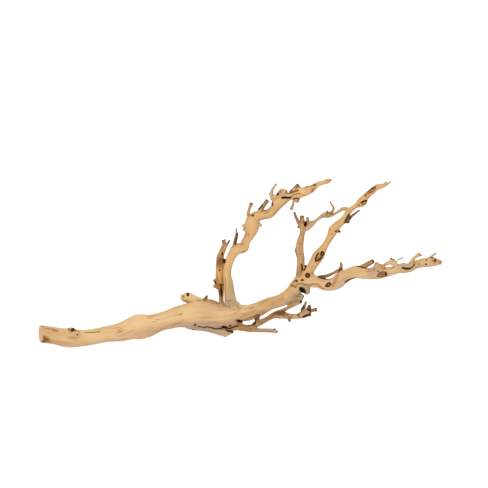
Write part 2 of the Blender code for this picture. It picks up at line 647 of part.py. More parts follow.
def main():
    for old in list(bpy.data.objects):
        bpy.data.objects.remove(old)
    scene = bpy.context.scene
    parts = bpy.data.collections.new(NAME)
    cutters = bpy.data.collections.new("cutters")
    scene.collection.children.link(parts)
    scene.collection.children.link(cutters)

    mesh = main_body(grown_together())
    points, edges = corners_of(mesh)
    points = soften(points, edges)
    mesh.vertices.foreach_set("co", points.ravel())
    mesh.update()
    normals = np.empty(len(points) * 3)
    mesh.vertices.foreach_get("normal", normals)
    points = press_hollows(points, normals.reshape(-1, 3))
    points -= np.array((ORIGIN_ACROSS, ORIGIN_BACK, 0))
    mesh.vertices.foreach_set("co", points.ravel())
    mesh.update()
    mesh.name = "branch"

    branch = bpy.data.objects.new("branch", mesh)
    parts.objects.link(branch)
    mesh.materials.append(wood())
    thin = branch.modifiers.new("simplify", "DECIMATE")
    thin.ratio = FACE_TARGET / (2 * len(mesh.polygons))

    saw, _ = place(SAW_ACROSS, SAW_UP, SAW_BACK)
    sawn = Vector(saw) - Vector((ORIGIN_ACROSS, ORIGIN_BACK, 0))
    cut(branch, cutter("saw", sawn, SAW_FACING, SAW_REACH, cutters))
    cut(branch, cutter("worn_flat", Vector((0, 0, 0)), (0, 0, -1), FLOOR_REACH, cutters))


main()
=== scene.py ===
# %% [markdown]
# # A bare branch for a terrarium
#
# This lesson dresses one piece of wood: a sandblasted vine branch with a sawn butt, a thick trunk, a fork
# of three limbs, one upright limb and many broken twigs. The packed part is its plain solid. Here the same
# branch is grown again, finer, with its grain, cracks and knots, and it gets a finish of bare dry wood.

# %% Tools
import math
import random

import bpy
import bmesh
import numpy as np
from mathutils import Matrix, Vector


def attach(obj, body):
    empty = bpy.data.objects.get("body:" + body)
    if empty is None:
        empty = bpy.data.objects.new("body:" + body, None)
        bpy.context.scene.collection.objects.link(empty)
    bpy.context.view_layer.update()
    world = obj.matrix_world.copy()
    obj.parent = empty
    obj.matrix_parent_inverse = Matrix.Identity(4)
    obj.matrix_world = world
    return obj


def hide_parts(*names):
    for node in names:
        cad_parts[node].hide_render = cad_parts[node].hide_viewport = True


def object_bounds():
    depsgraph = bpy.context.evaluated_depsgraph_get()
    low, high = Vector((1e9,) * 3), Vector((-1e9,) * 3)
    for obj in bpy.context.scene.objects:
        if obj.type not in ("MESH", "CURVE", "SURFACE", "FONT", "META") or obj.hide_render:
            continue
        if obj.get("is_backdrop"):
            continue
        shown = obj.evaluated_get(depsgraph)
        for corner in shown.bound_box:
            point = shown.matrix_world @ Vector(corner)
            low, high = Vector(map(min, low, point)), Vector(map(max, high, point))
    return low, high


# %% [markdown]
# ## The fixed frame
#
# The packed part is loaded first and never moved. Its box is kept, because the dressed branch has to stay
# in it.

# %% Load the packed part
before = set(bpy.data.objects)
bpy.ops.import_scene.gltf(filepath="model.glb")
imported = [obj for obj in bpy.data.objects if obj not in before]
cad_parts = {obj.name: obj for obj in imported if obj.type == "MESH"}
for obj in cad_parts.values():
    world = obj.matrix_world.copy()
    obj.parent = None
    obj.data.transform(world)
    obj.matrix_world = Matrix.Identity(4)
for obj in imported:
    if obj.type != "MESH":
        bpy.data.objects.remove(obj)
MM = 0.001
solid_box = [[float(value) for value in corner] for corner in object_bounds()]


def in_mm(rows):
    """Rows of metres as millimetres with one decimal, for printing."""
    return [[round(float(value) / MM, 1) for value in row] for row in rows]


print("the solid's box, mm:", in_mm(solid_box))

# %% [markdown]
# ## The sight line and the camera
#
# The branch lies on a table, and the viewer looks down on it at 22 degrees from well back, as a catalogue
# does. A short lens would make the near twigs loom, so a long lens stands 2.4 m away. The camera looks
# along the same line that the limbs are set out on further down, so both use the same few values.

# %% The sight line
SIGHT_TILT = math.radians(22)
SIGHT_DISTANCE = 2400 * MM
SIGHT_ACROSS = 243.6 * MM
SIGHT_UP = 144.2 * MM
ORIGIN = np.array((239.15, 53.59, 0.0)) * MM
RIGHT = np.array((1.0, 0.0, 0.0))
FORWARD = np.array((0.0, math.cos(SIGHT_TILT), -math.sin(SIGHT_TILT)))
UPWARD = np.array((0.0, math.sin(SIGHT_TILT), math.cos(SIGHT_TILT)))
EYE = RIGHT * SIGHT_ACROSS + UPWARD * SIGHT_UP - FORWARD * SIGHT_DISTANCE
print("the eye, mm:", in_mm([EYE - ORIGIN]))

# %% The camera
SENSOR = 36.0
SHEET_STEPS = 488
STEP_MM = 1.4
CAMERA_SEES = 60.0


def placed(name, data):
    """A new object in the scene with this data."""
    made = bpy.data.objects.new(name, data)
    bpy.context.scene.collection.objects.link(made)
    return made


view = bpy.data.cameras.new("view")
view.sensor_width = SENSOR
view.lens = SENSOR * SIGHT_DISTANCE / (SHEET_STEPS * STEP_MM * MM)
view.clip_end = CAMERA_SEES
camera = placed("camera", view)
camera.location = Vector(EYE - ORIGIN)
camera.rotation_euler = (math.pi / 2 - SIGHT_TILT, 0.0, 0.0)
bpy.context.scene.camera = camera
print("lens, mm:", round(view.lens, 1))

# %% [markdown]
# ## How the limbs are set out
#
# A branch has no straight edge to measure from, so it is set out on an upright drawing sheet that faces
# the viewer. A knot of a limb is (across, up, back, radius) in millimetres: across and up are read on the
# sheet, and back says how far behind the sheet's corner the knot really lies. A limb is a smooth run
# through its knots.

# %% Setting out limbs by name
KNOTS = {}


def set_out(**limbs):
    """Adds limbs or twigs, each a list of knots."""
    KNOTS.update(limbs)
    print(len(KNOTS), "limbs and twigs, with", sum(len(knots) for knots in KNOTS.values()), "knots")


# %% The trunk and the fork
set_out(
    trunk=[
        (-50, 19.5, -12.5, 11.2), (-40.6, 18.8, -9, 11.3), (-22.4, 16.4, -3.5, 11.5), (-8.4, 14.1, 1, 12.2),
        (1.4, 13.4, 4.3, 12.4), (15.4, 13.2, 6, 11), (37.8, 15.2, 10.5, 10.6), (54.6, 18.4, 15.5, 11.1),
        (71.4, 21, 20.5, 12.6), (85.4, 24.8, 23.5, 15.2), (96.6, 27.4, 26, 17.6), (112, 29.6, 29.5, 15.8),
        (124.6, 33.4, 32.5, 13.4), (138.6, 37.5, 36, 13.2), (151.2, 41.4, 39, 14.8),
        (165.2, 43.9, 42, 17.4), (182, 45.5, 45.5, 18.6), (196, 44.7, 48.5, 19), (210, 43.4, 52, 18.6),
        (224, 44.2, 56, 16.4), (238, 47.3, 60.5, 12.1), (252, 49.1, 65, 11), (266, 54.3, 69, 9.8),
        (280, 61, 73.5, 8.5), (294, 65, 78, 8.2), (308, 70.3, 82.5, 8.9), (317.8, 70, 85.5, 7),
        (325, 68.4, 87, 4.6),
    ],
    fork=[
        (299.6, 68.2, 79.5, 8.2), (310.8, 77, 83.5, 9.2), (318.4, 86.2, 87, 10), (324.8, 93.6, 89.5, 9.6),
        (333.2, 94.5, 90, 8.2),
    ],
)

# %% The three limbs of the fork
set_out(
    left_limb=[
        (321.3, 88.2, 90, 7.5), (322.4, 98, 92, 7), (322.7, 105, 94.5, 6.3), (323, 113.4, 97.5, 5.7),
        (322.9, 126, 102, 5.6), (320.8, 135.1, 106, 6.2), (321.4, 142.8, 109, 5.5),
        (322.7, 149.8, 112, 4.9), (324.8, 156.8, 115, 4), (326.2, 163.8, 117, 4.6),
        (327.6, 170.1, 118, 5.9), (327.9, 174.3, 118, 4.8),
    ],
    reaching_arm=[
        (330.4, 167.4, 118, 5.2), (335.2, 170.2, 119, 4.6), (339.8, 173, 120, 3.2), (347.2, 178.8, 121, 2),
        (354.2, 183.6, 122, 3), (361.2, 184.9, 122.5, 4.3), (366.1, 185, 122, 2.8),
        (371, 186.6, 121.5, 1.7), (376.6, 190, 121, 1.8), (382.2, 193.1, 120.5, 2.5),
        (387.8, 193.4, 120, 2.1), (392.6, 192.5, 120, 1.3),
    ],
    middle_limb=[
        (327.6, 98, 90, 7.2), (336.9, 109.8, 91, 6.4), (342.9, 119.3, 92, 7.1), (348.8, 128.9, 93, 8),
        (353.2, 136.2, 94, 6), (359.2, 146, 95.5, 4.7), (364.7, 155.4, 97, 5.7), (368.5, 164.3, 98.5, 7.4),
        (374.3, 171.1, 100, 6), (383.1, 178.9, 101.5, 5.1), (389.5, 188.9, 103, 4.4),
        (398.8, 196.6, 105, 3.4), (409, 203.2, 107, 6.6), (413.8, 210.3, 108, 4.9),
        (420.4, 216.2, 109, 4.4), (428, 222.4, 110, 4.5), (436.7, 225.5, 111, 3.4), (443.3, 228, 112, 2.2),
        (448.4, 231.6, 113, 1.1),
    ],
    right_limb=[
        (326.2, 92.4, 89, 8.6), (334.6, 92.6, 86, 9.2), (341.6, 91.7, 83, 8.9), (347.9, 90.3, 80.5, 7.5),
        (355.6, 87.4, 77, 7.9), (364, 86.6, 73, 8.1), (372.4, 89.1, 69.5, 8.6), (380.1, 95.3, 66, 9),
        (387.8, 99.8, 63, 7.9), (394.8, 102.9, 60, 7.9), (401.8, 104.5, 57.5, 8.3), (410.2, 103.3, 54.5, 8),
        (418.6, 102.3, 52, 7.5), (427, 103.6, 49.5, 8), (436.1, 105.3, 47, 8.4), (443.1, 105, 45.5, 6.2),
        (450.8, 106.4, 44, 5.2), (459.2, 109.8, 43, 6), (467.6, 110.5, 42, 6.8), (476, 111.4, 42, 5.7),
        (483, 115, 42.5, 5.3), (491.4, 117, 43.5, 5.5), (499.8, 118.6, 45, 6.1), (508.2, 119.3, 47, 5.8),
        (515.2, 118.6, 49, 4.4), (519.6, 118.4, 50, 3),
    ],
)

# %% The upright limb and the low branches
set_out(
    upright_limb=[
        (226.8, 54.6, 55, 9.8), (225.4, 63, 56.5, 9), (224.7, 70, 58, 8.1), (223.4, 79.8, 60, 7.2),
        (222.3, 89.6, 62.5, 6.6), (220.1, 99.4, 65, 5.8), (220.1, 107.8, 67, 5.7), (223, 119, 69.5, 6.4),
        (227.2, 128.8, 72, 6.6), (233.4, 136.8, 74, 7.8), (243.2, 139.6, 76, 7.2), (246.8, 148.3, 78, 5.9),
        (251.2, 155.7, 80, 6.9), (254.5, 165.2, 82, 9.6), (255.5, 175.6, 84, 10.8), (261.1, 182.8, 85, 8),
        (269.5, 185, 86, 7), (277.8, 186.4, 86, 7), (286, 193.6, 85, 6.6), (290.8, 201.1, 84, 8.7),
        (297.5, 206, 82, 7.5), (307.5, 211, 79, 5.3), (320.6, 214.8, 75, 6.5), (331.8, 219, 72, 6.4),
        (339.9, 222.4, 69.5, 4.8), (347.2, 227.9, 67.5, 3.5), (354.9, 230.4, 65.5, 3),
        (361.9, 232.7, 64, 3.2), (365.3, 233.9, 63, 1.9),
    ],
    broken_limb=[
        (212.8, 56, 61, 4.5), (211.8, 64.4, 64, 3.4), (211.8, 71.4, 66, 3.4), (211.4, 79.1, 67.5, 4.2),
        (210, 88.9, 69, 5.8), (209.6, 100.1, 70.5, 6), (209.7, 110.6, 72.5, 5.9), (210.4, 119, 75, 6.1),
        (210.3, 126, 77.5, 5.3), (212.7, 133, 80, 4.1), (215.4, 140, 82.5, 3.8), (216.4, 144, 84, 2.8),
    ],
    back_stub=[
        (156.6, 70.2, 69, 4.6), (160.2, 69.4, 68.5, 6.2), (165.2, 69, 67.5, 7.3), (173.6, 64.2, 66, 8.1),
        (183.4, 60.2, 63.5, 8.4), (193.2, 58.8, 60.5, 8.4), (201.6, 55.3, 57.5, 8),
    ],
    lower_splinter=[
        (159, 31.4, 37.5, 3.2), (166.6, 28.7, 38, 3.5), (175, 26.6, 38.5, 3.2), (184.8, 26, 39, 3.4),
        (196, 24.2, 39, 3.8), (205.8, 22, 37, 4.4), (214.2, 20.2, 34, 4.6), (221.2, 20.7, 33, 3.6),
        (228.4, 21.3, 33, 2),
    ],
    lower_branch=[
        (218.4, 28.7, 47, 5), (226.8, 27.4, 46, 4.4), (235, 28, 47, 4.5), (245, 26.7, 48, 4.5),
        (253.4, 25.8, 48.5, 5), (260.4, 25.8, 49.5, 3.8),
    ],
    low_twig=[
        (257.6, 24.4, 48.8, 3), (266, 23.4, 48.4, 2.3), (277.2, 23.2, 48.2, 2.3), (285.6, 22.4, 47.6, 2.4),
        (288.6, 21.4, 45.4, 2.3), (290.6, 21, 45, 1.5),
    ],
    backward_twig=[
        (254.8, 25.9, 50, 4.2), (260.4, 31.8, 57, 4.2), (267.4, 34.8, 63, 3.7), (277.2, 39.8, 71, 3.1),
        (285.6, 44.5, 78, 4), (294, 46.2, 84, 5.8), (302.4, 44.1, 90.5, 4.3), (310.8, 43, 94.4, 3.2),
        (319.2, 43.4, 96.2, 3.1), (327.6, 46.9, 101.2, 5.5), (333.9, 49.9, 105.6, 5.2),
    ],
)

# %% Low twigs and the tangle under the fork
set_out(
    link_to_trunk=[(261.8, 49, 65, 3.6), (262.1, 41.3, 62, 3.2), (261.8, 34.3, 58, 3.6)],
    lower_web=[(234.5, 34.5, 52, 3.6), (240.5, 33.4, 53, 2.8)],
    splinter_foot=[(216, 18.9, 33, 2.9), (217.4, 14.4, 30.2, 1.7)],
    splinter_heel=[(217, 17.6, 31.8, 2.4), (223.6, 19.4, 32.6, 2.2)],
    low_twig_thorn=[(286.3, 23.6, 47.4, 1.6), (286.8, 26.2, 47.6, 1)],
    thin_twig=[
        (295.4, 50, 84, 2.7), (303.8, 54, 79, 2.2), (313.6, 59.2, 73.5, 2.5), (323.6, 63.8, 69, 2.2),
    ],
    thin_twig_web=[(305, 57.6, 78, 1.9), (315, 62.2, 75, 2.6)],
    twig_knee=[(306.6, 40.4, 88.4, 2.5), (307.5, 36.2, 82.6, 1.4)],
    tangle_spike=[(325, 51.1, 99.5, 2.4), (328.6, 58.1, 98.5, 1.9), (330.6, 63.6, 97.5, 1.2)],
    tangle_peak=[(334, 54, 104.6, 3.2), (336, 58.6, 105.6, 1.7)],
    tangle_spur=[(336, 50.7, 104.6, 3), (341.6, 52.2, 106.6, 2.1), (345.2, 54.4, 107.6, 1.2)],
    tangle_tip=[(340.5, 51.6, 106.1, 1.9), (345.8, 50.8, 107.6, 1.2)],
    tangle_root=[(333.2, 46.2, 102.4, 2.9), (337.4, 44.3, 101, 1.3)],
)

# %% The lump of the fork and the twigs of the left limb
set_out(
    fork_lump=[(329, 86.8, 86, 5.8), (331, 81, 84.5, 5.5), (331.2, 75.9, 84, 4.8)],
    fork_back=[(317, 84.6, 95, 5.6), (324.4, 80.6, 95.5, 5), (330.6, 78.6, 94.5, 3.6)],
    fork_web=[(328.2, 109.4, 92, 3.3), (330.6, 113.4, 92.5, 2.5)],
    limb_web=[(337, 100, 88, 3.2), (341.2, 101.4, 86.5, 2.6)],
    left_limb_spike=[
        (322, 170.8, 117, 2.9), (318.8, 176.4, 115, 2.2), (315.7, 183.4, 113, 1.8),
        (314, 188.9, 111.5, 1.2),
    ],
    left_limb_stub=[(325.5, 173.6, 119, 3.3), (325.2, 179.2, 120.5, 3), (325.1, 183, 121.5, 2.7)],
    left_limb_snag=[(332.2, 172.9, 117, 2.8), (332.8, 178.5, 116, 2), (332, 181.8, 115.5, 1.2)],
    snag_root=[(334, 173.2, 118, 3), (338.4, 175.6, 119, 1.9)],
    left_limb_thorn=[(321.7, 168.3, 117, 1.7), (318.2, 167.6, 116, 1.2)],
    hooked_twig=[
        (364.7, 187, 121, 2), (367.9, 191.2, 119, 1.6), (369, 194.9, 118, 1.5), (366, 199.4, 117, 1.2),
        (363.9, 204.2, 116, 1),
    ],
    arm_bump=[(359.8, 187.2, 122, 2.2), (360.4, 190.6, 121.5, 1.2)],
)

# %% Twigs and thorns of the middle and right limbs
set_out(
    middle_limb_spur=[(373.1, 162.4, 96, 2.2), (378.4, 161.4, 94.5, 1.6)],
    middle_limb_burr=[(386.9, 174.8, 98.5, 3.8), (390.2, 183.4, 99.5, 3)],
    middle_limb_twig=[
        (389.5, 178.5, 98, 2.6), (393.4, 182.4, 96.5, 1.9), (399, 186.8, 94.5, 1.4),
        (405.2, 191.5, 92.5, 1.2),
    ],
    middle_tip_burr=[(440.5, 227.9, 111.5, 1.8), (442.8, 230.8, 111.5, 1.1)],
    right_limb_hump=[(429, 111.4, 49, 4.6), (429.8, 117.8, 48.5, 2.3)],
    hump_shoulder=[(433.4, 112.2, 48.4, 4), (438.6, 113.2, 47.4, 3)],
    right_limb_arch=[
        (437.5, 112.4, 46, 2.8), (442.4, 115.7, 45, 2.5), (448, 118.4, 44, 3.4), (454.1, 116.3, 43.5, 3.6),
        (458.9, 112.7, 43, 3.5),
    ],
    arch_thorn=[(448.7, 120.4, 44, 1.9), (450.2, 124.4, 43.5, 1.2)],
    hair_splinter=[
        (452.6, 117.4, 43.4, 0.9), (455.6, 119.8, 43, 0.6), (461.4, 123.2, 42.2, 0.55),
        (466.9, 125.4, 41.6, 0.5),
    ],
    arch_floor=[(443.5, 109, 45.2, 3.3), (451.5, 109.3, 44.2, 3.3), (456.4, 111.4, 43.4, 3)],
    tip_thorn=[(424.2, 218.6, 109.6, 2), (426.4, 214.6, 109, 1)],
    upright_bud=[(263.6, 171.4, 84, 3.6), (268.4, 170.4, 84, 1.5)],
    arch_nub=[(451.4, 119.6, 43.5, 2.3), (453.8, 122.4, 43, 1.4)],
    arch_shoulder=[(453.6, 118.2, 43.2, 2.4), (457.4, 119.4, 42.6, 1.4)],
    forked_twig=[
        (475.3, 112, 41.5, 2.7), (477.8, 118.1, 40, 2.4), (480.9, 123.3, 38.5, 2), (485.1, 127.8, 37, 1.7),
        (489, 131.9, 36, 1.1),
    ],
    forked_twig_prong=[(485, 126.8, 37, 1.6), (491.8, 128.9, 35.5, 1.4)],
    end_twig=[(501.2, 122.5, 46, 2.3), (506.1, 126.9, 47, 1.5), (512.4, 131.1, 48.5, 1.4)],
)

# %% The hidden vine and the twigs of the upright limb
set_out(
    hidden_stub=[
        (404, 109.8, 62, 3.1), (412.5, 113.5, 62, 3.2), (420.5, 118, 61.5, 3.1), (424.6, 120.2, 61, 2.9),
    ],
    hidden_vine=[
        (345.8, 97.3, 86, 2.1), (351.4, 98.5, 84, 2.3), (358.6, 99.3, 81.5, 2.2), (365.4, 102, 79, 1.9),
        (372.4, 105.5, 76, 1.9), (378.2, 109, 73, 2.6), (379.7, 114, 71.5, 2), (379, 118.4, 71, 1.2),
    ],
    hidden_vine_nub=[(379.4, 113.2, 71.5, 1.7), (381.6, 114.6, 71, 1.1)],
    hidden_vine_root=[(378, 106.8, 72.5, 3), (383.4, 104.6, 70, 3.2)],
    upright_root=[(233.6, 61.8, 55, 2.9), (238.2, 56.4, 56, 3.2)],
    upright_spike=[(229.6, 140.7, 73.5, 2.5), (231.8, 149.8, 72, 2.3), (234, 158.9, 70.5, 2.2)],
    upright_spike_tip=[(232.6, 157.6, 71, 1.5), (232.8, 165.8, 70, 1.1)],
    upright_stub=[(249, 184, 84, 2.3), (251, 193.2, 83, 1.8), (254.1, 201, 82.5, 2.4)],
    upright_snag=[(265.4, 190.2, 88.5, 3.6), (271.4, 198.3, 91, 2.8), (276.3, 205.2, 93, 2.8)],
    curved_twig=[
        (284.4, 207.2, 85, 3.2), (282, 213.4, 84.4, 3.1), (282.5, 218, 83.6, 2.2), (285, 222.9, 82.5, 1.9),
        (289.3, 228.1, 81, 1.5),
    ],
    knob_root=[(286.4, 209, 83.5, 3.4), (291, 211, 82.5, 3.4)],
    upright_knob=[(291.9, 211.4, 82, 4.2), (297.3, 216.9, 81, 4.8), (302.6, 216.2, 79.5, 4)],
    flake=[(308.8, 216.2, 78, 2.6), (313.9, 222.4, 77, 2.2), (319.4, 227.4, 76, 2.2)],
    flake_root=[(318.8, 216.5, 75.5, 3.2), (321.2, 224.6, 75.6, 2)],
    flake_web=[(313, 218.6, 76.8, 2.4), (318.2, 221.6, 76, 2.4)],
    hanging_twig=[(313.8, 207.2, 75.5, 1.9), (312.2, 199.5, 74, 1.6), (309.9, 192.6, 73, 2.2)],
    curled_lump=[(314.6, 208.3, 74.5, 3.3), (319.7, 205.8, 73.5, 4.8)],
)

# %% Burrs, ridges and the splinters of the broken limb
set_out(
    left_burr=[(246.3, 169.6, 81, 3.6), (241.4, 170.4, 80.5, 1.6)],
    left_burr_low=[(246.3, 164.8, 81, 3.6), (242.4, 164.8, 80.5, 1.8)],
    broken_splinter_left=[(215.2, 141.2, 83, 1.8), (214.1, 145.6, 84, 1.3), (213.7, 149.9, 85, 1)],
    broken_splinter_middle=[(216.6, 142.8, 84, 1.7), (216.8, 151, 86, 1)],
    broken_splinter_right=[(218.8, 141.4, 83.5, 1.9), (220.9, 145.6, 84.5, 1.4), (223.4, 149.4, 85.5, 1)],
    broken_thorn_low=[(206.1, 84, 68, 3.2), (200.6, 85.2, 67, 1.4)],
    broken_thorn_high=[(205.4, 94.4, 69.5, 3), (200.2, 93.1, 68.5, 1.4)],
    broken_flake=[(206, 86.4, 68.5, 3.4), (205.6, 92.4, 69, 3.4)],
    broken_knob=[(211.5, 120.4, 75, 3.6), (217.2, 120.6, 72.5, 2.9)],
    back_stub_spike=[(189.4, 66, 61, 3), (192.1, 72, 61.5, 1.2)],
    back_ridge=[(196, 62.6, 60.5, 5), (202.4, 60.4, 60, 4.6), (208, 56.4, 60, 4.2)],
    trunk_burr=[(-6, 19.6, 1, 7.2), (1.4, 20, 2, 8.2), (8, 19, 4.5, 6.6)],
)

# %% [markdown]
# ## Growing one limb
#
# A limb could be a bevelled curve, but its section would be a perfect circle. Real limbs have slow lobes
# that twist round them. So each limb is a loft: rings of points along its run, whose radius strays a
# little from round by a few waves with seeded phases. Every ring also keeps its frame, because the grain
# follows it later.

# %% From the sheet to the branch
def place(across, up, back):
    """The point drawn at (across, up) that lies this far back, and its scale against the drawing."""
    ray = RIGHT * across * MM + UPWARD * up * MM - EYE
    reach = (back * MM - EYE[1]) / ray[1]
    return EYE + ray * reach - ORIGIN, reach


def drawn_at(points):
    """Where points are drawn, across and up in millimetres, and their distance along the sight."""
    rays = points + ORIGIN - EYE
    reach = rays @ FORWARD
    on_sheet = rays * (SIGHT_DISTANCE / reach)[:, None]
    across = (on_sheet[:, 0] + EYE[0]) / MM
    up = (on_sheet @ UPWARD + EYE @ UPWARD) / MM
    return across, up, reach


print("the trunk's first knot lies at, mm:", in_mm([place(*KNOTS["trunk"][0][:3])[0]]))

# %% A smooth run through the knots
RING_STEP = 1.2 * MM
SKIN = 0.2 * MM
END_REACH = 0.3
END_SHARE = 0.62


def smooth_run(knots):
    """Rows (x, y, z, radius) a ring step apart, on a smooth curve through the knots."""
    rows = []
    for across, up, back, radius in knots:
        point, scale = place(across, up, back)
        rows.append((*point, radius * MM * scale + SKIN))
    rows = np.array(rows)
    gaps = np.linalg.norm(np.diff(rows[:, :3], axis=0), axis=1)
    slopes = np.diff(rows, axis=0) / gaps[:, None]
    tangents = np.concatenate([slopes[:1], slopes[1:], slopes[-1:]])
    inner = slopes[:-1] * gaps[1:, None] + slopes[1:] * gaps[:-1, None]
    tangents[1:-1] = inner / (gaps[:-1] + gaps[1:])[:, None]
    run = []
    for i, gap in enumerate(gaps):
        count = max(2, round(gap / RING_STEP))
        for t in np.arange(count) / count:
            start = (1 + 2 * t) * (1 - t) ** 2 * rows[i] + t * (1 - t) ** 2 * gap * tangents[i]
            end = t * t * (3 - 2 * t) * rows[i + 1] - t * t * (1 - t) * gap * tangents[i + 1]
            run.append(start + end)
    run.append(rows[-1])
    return np.array(run)


def with_blunt_ends(run):
    """The run with a smaller ring past each end, so that a stub ends like worn wood, not like a cut rod."""
    rings = [run]
    for end, inner in ((0, 1), (-1, -2)):
        outward = run[end, :3] - run[inner, :3]
        outward /= np.linalg.norm(outward)
        radius = run[end, 3]
        tip = np.append(run[end, :3] + outward * radius * END_REACH, radius * END_SHARE)
        rings.insert(0 if end == 0 else len(rings), tip[None, :])
    return np.concatenate(rings)


print("rings along the trunk:", len(with_blunt_ends(smooth_run(KNOTS["trunk"]))))

# %% Gnarls round a limb
RING_SIDES = 26
RING_ANGLES = np.arange(RING_SIDES) * math.tau / RING_SIDES
# Lobes round the section, their size as a share of the radius, and the length in which they turn, in mm.
LOBES = ((2, 0.060, 60), (3, 0.035, 40), (1, 0.045, 22), (5, 0.018, 30))
MOST_TURN = 1.2
SWAY = 0.8
SWAY_RATE = 2.1


def gnarl(draw, along, angle):
    """How far a limb's section strays from round, as a share of its radius."""
    stray = np.zeros(np.broadcast(along, angle).shape)
    for lobes, size, length in LOBES:
        turn = draw.uniform(-MOST_TURN, MOST_TURN)
        phase = draw.uniform(0, math.tau)
        sway = draw.uniform(0, math.tau)
        turned = turn * along / (length * MM)
        lean = phase + turned + SWAY * np.sin(along / (length * MM) * SWAY_RATE + sway)
        stray = stray + size * np.cos(lobes * angle + lean)
    return stray


print("a section strays from round by at most", round(sum(size for _, size, _ in LOBES), 3))


# %% A gnarled loft for each limb
def grow(name, knots):
    """A limb: its ring centres with their frames, radii and places along the run, and its rings."""
    run = with_blunt_ends(smooth_run(knots))
    centres = run[:, :3]
    steps = np.gradient(centres, axis=0)
    steps /= np.linalg.norm(steps, axis=1)[:, None]
    along = np.concatenate([[0], np.cumsum(np.linalg.norm(np.diff(centres, axis=0), axis=1))])
    sides = []
    side = np.cross(steps[0], FORWARD)
    for step in steps:
        side = side - step * (side @ step)
        side /= np.linalg.norm(side)
        sides.append(side)
    sides = np.array(sides)
    others = np.cross(steps, sides)
    stray = gnarl(random.Random(name), along[:, None], RING_ANGLES[None, :])
    reach = (run[:, 3, None] * (1 + stray))[:, :, None]
    round_way = np.cos(RING_ANGLES)[None, :, None] * sides[:, None, :]
    round_way = round_way + np.sin(RING_ANGLES)[None, :, None] * others[:, None, :]
    return {
        "name": name,
        "centres": centres,
        "steps": steps,
        "sides": sides,
        "others": others,
        "radii": run[:, 3],
        "along": along,
        "rings": centres[:, None, :] + reach * round_way,
    }


limbs = [grow(name, knots) for name, knots in KNOTS.items()]
longest = max(limbs, key=lambda limb: limb["along"][-1])
print("rings:", sum(len(limb["centres"]) for limb in limbs))
print("longest limb:", longest["name"], round(longest["along"][-1] / MM), "mm")

# %% [markdown]
# ## Grown together
#
# A Boolean union for each limb and twig would be slow and could fail. A voxel remesh joins everything that
# overlaps in one step, as wood grows together where limbs cross, and rounds the crotches a little. Its
# small cell steps are smoothed away by moving each point towards its neighbours and then out again, which
# keeps thin twigs thick.

# %% All the lofts in one mesh
def ring_faces(first, rings):
    """The faces of one loft whose first point has this number."""
    faces = []
    for i in range(rings - 1):
        for j in range(RING_SIDES):
            low = first + i * RING_SIDES
            high = low + RING_SIDES
            k = (j + 1) % RING_SIDES
            faces.append((low + j, low + k, high + k, high + j))
    last = first + (rings - 1) * RING_SIDES
    faces.append(tuple(range(first + RING_SIDES - 1, first - 1, -1)))
    faces.append(tuple(range(last, last + RING_SIDES)))
    return faces


loft_points = []
loft_faces = []
for limb in limbs:
    loft_faces.extend(ring_faces(len(loft_points), len(limb["rings"])))
    loft_points.extend(limb["rings"].reshape(-1, 3).tolist())
lofts = bpy.data.meshes.new("lofts")
lofts.from_pydata(loft_points, [], loft_faces)
print("faces of all the lofts:", len(loft_faces))

# %% One closed skin
JOIN_CELL = 0.62 * MM


def applied(mesh, kind, settings, guarded=()):
    """The mesh that a modifier makes of this one. It leaves the guarded points as they are."""
    holder = placed("holder", mesh)
    modifier = holder.modifiers.new("change", kind)
    if len(guarded):
        holder.vertex_groups.new(name="guarded").add([int(i) for i in guarded], 1.0, "REPLACE")
        modifier.vertex_group = "guarded"
        modifier.invert_vertex_group = True
    for name, value in settings.items():
        setattr(modifier, name, value)
    graph = bpy.context.evaluated_depsgraph_get()
    made = bpy.data.meshes.new_from_object(holder.evaluated_get(graph))
    bpy.data.objects.remove(holder)
    bpy.data.meshes.remove(mesh)
    return made


skin = applied(lofts, "REMESH", {"mode": "VOXEL", "voxel_size": JOIN_CELL})
print("joined skin:", len(skin.vertices), "points")


# %% One body without scraps
def rows_of(layer, name, width, kind=np.float64):
    """One value of every item of a mesh's layer, as rows of this width."""
    flat = np.empty(len(layer) * width, kind)
    layer.foreach_get(name, flat)
    return flat.reshape(-1, width) if width > 1 else flat


def main_body(mesh):
    """Keeps the one outer skin, without any loose scrap or sealed bubble."""
    edges = rows_of(mesh.edges, "vertices", 2, np.int32)
    label = np.arange(len(mesh.vertices))
    before = None
    while before is None or (label != before).any():
        before = label.copy()
        lowest = np.minimum(label[edges[:, 0]], label[edges[:, 1]])
        np.minimum.at(label, edges[:, 0], lowest)
        np.minimum.at(label, edges[:, 1], lowest)
        label = label[label]
    names, sizes = np.unique(label, return_counts=True)
    scraps = np.flatnonzero(label != names[sizes.argmax()])
    if len(scraps):
        body = bmesh.new()
        body.from_mesh(mesh)
        body.verts.ensure_lookup_table()
        bmesh.ops.delete(body, geom=[body.verts[i] for i in scraps], context="VERTS")
        body.to_mesh(mesh)
        body.free()
    return len(scraps)


print("points of loose scraps taken off:", main_body(skin))

# %% Smoothing the cell steps
SMOOTH_ROUNDS = 5
SHRINK = 0.55
SWELL = -0.57


def neighbours_mean(values, edges):
    """The mean of each point's neighbours along the edges."""
    size = len(values)
    count = np.bincount(edges.ravel(), minlength=size)
    total = np.zeros_like(values)
    for column in range(values.shape[1]):
        for here, there in ((0, 1), (1, 0)):
            weights = values[edges[:, there], column]
            total[:, column] += np.bincount(edges[:, here], weights=weights, minlength=size)
    return total / np.maximum(count, 1)[:, None]


def pulled(points, edges, strength):
    """The points, moved this share of the way to the middle of their neighbours."""
    return points + strength * (neighbours_mean(points, edges) - points)


skin_edges = rows_of(skin.edges, "vertices", 2, np.int32)
skin_points = rows_of(skin.vertices, "co", 3)
for _ in range(SMOOTH_ROUNDS):
    for strength in (SHRINK, SWELL):
        skin_points = pulled(skin_points, skin_edges, strength)
print("smoothed:", len(skin_points), "points")

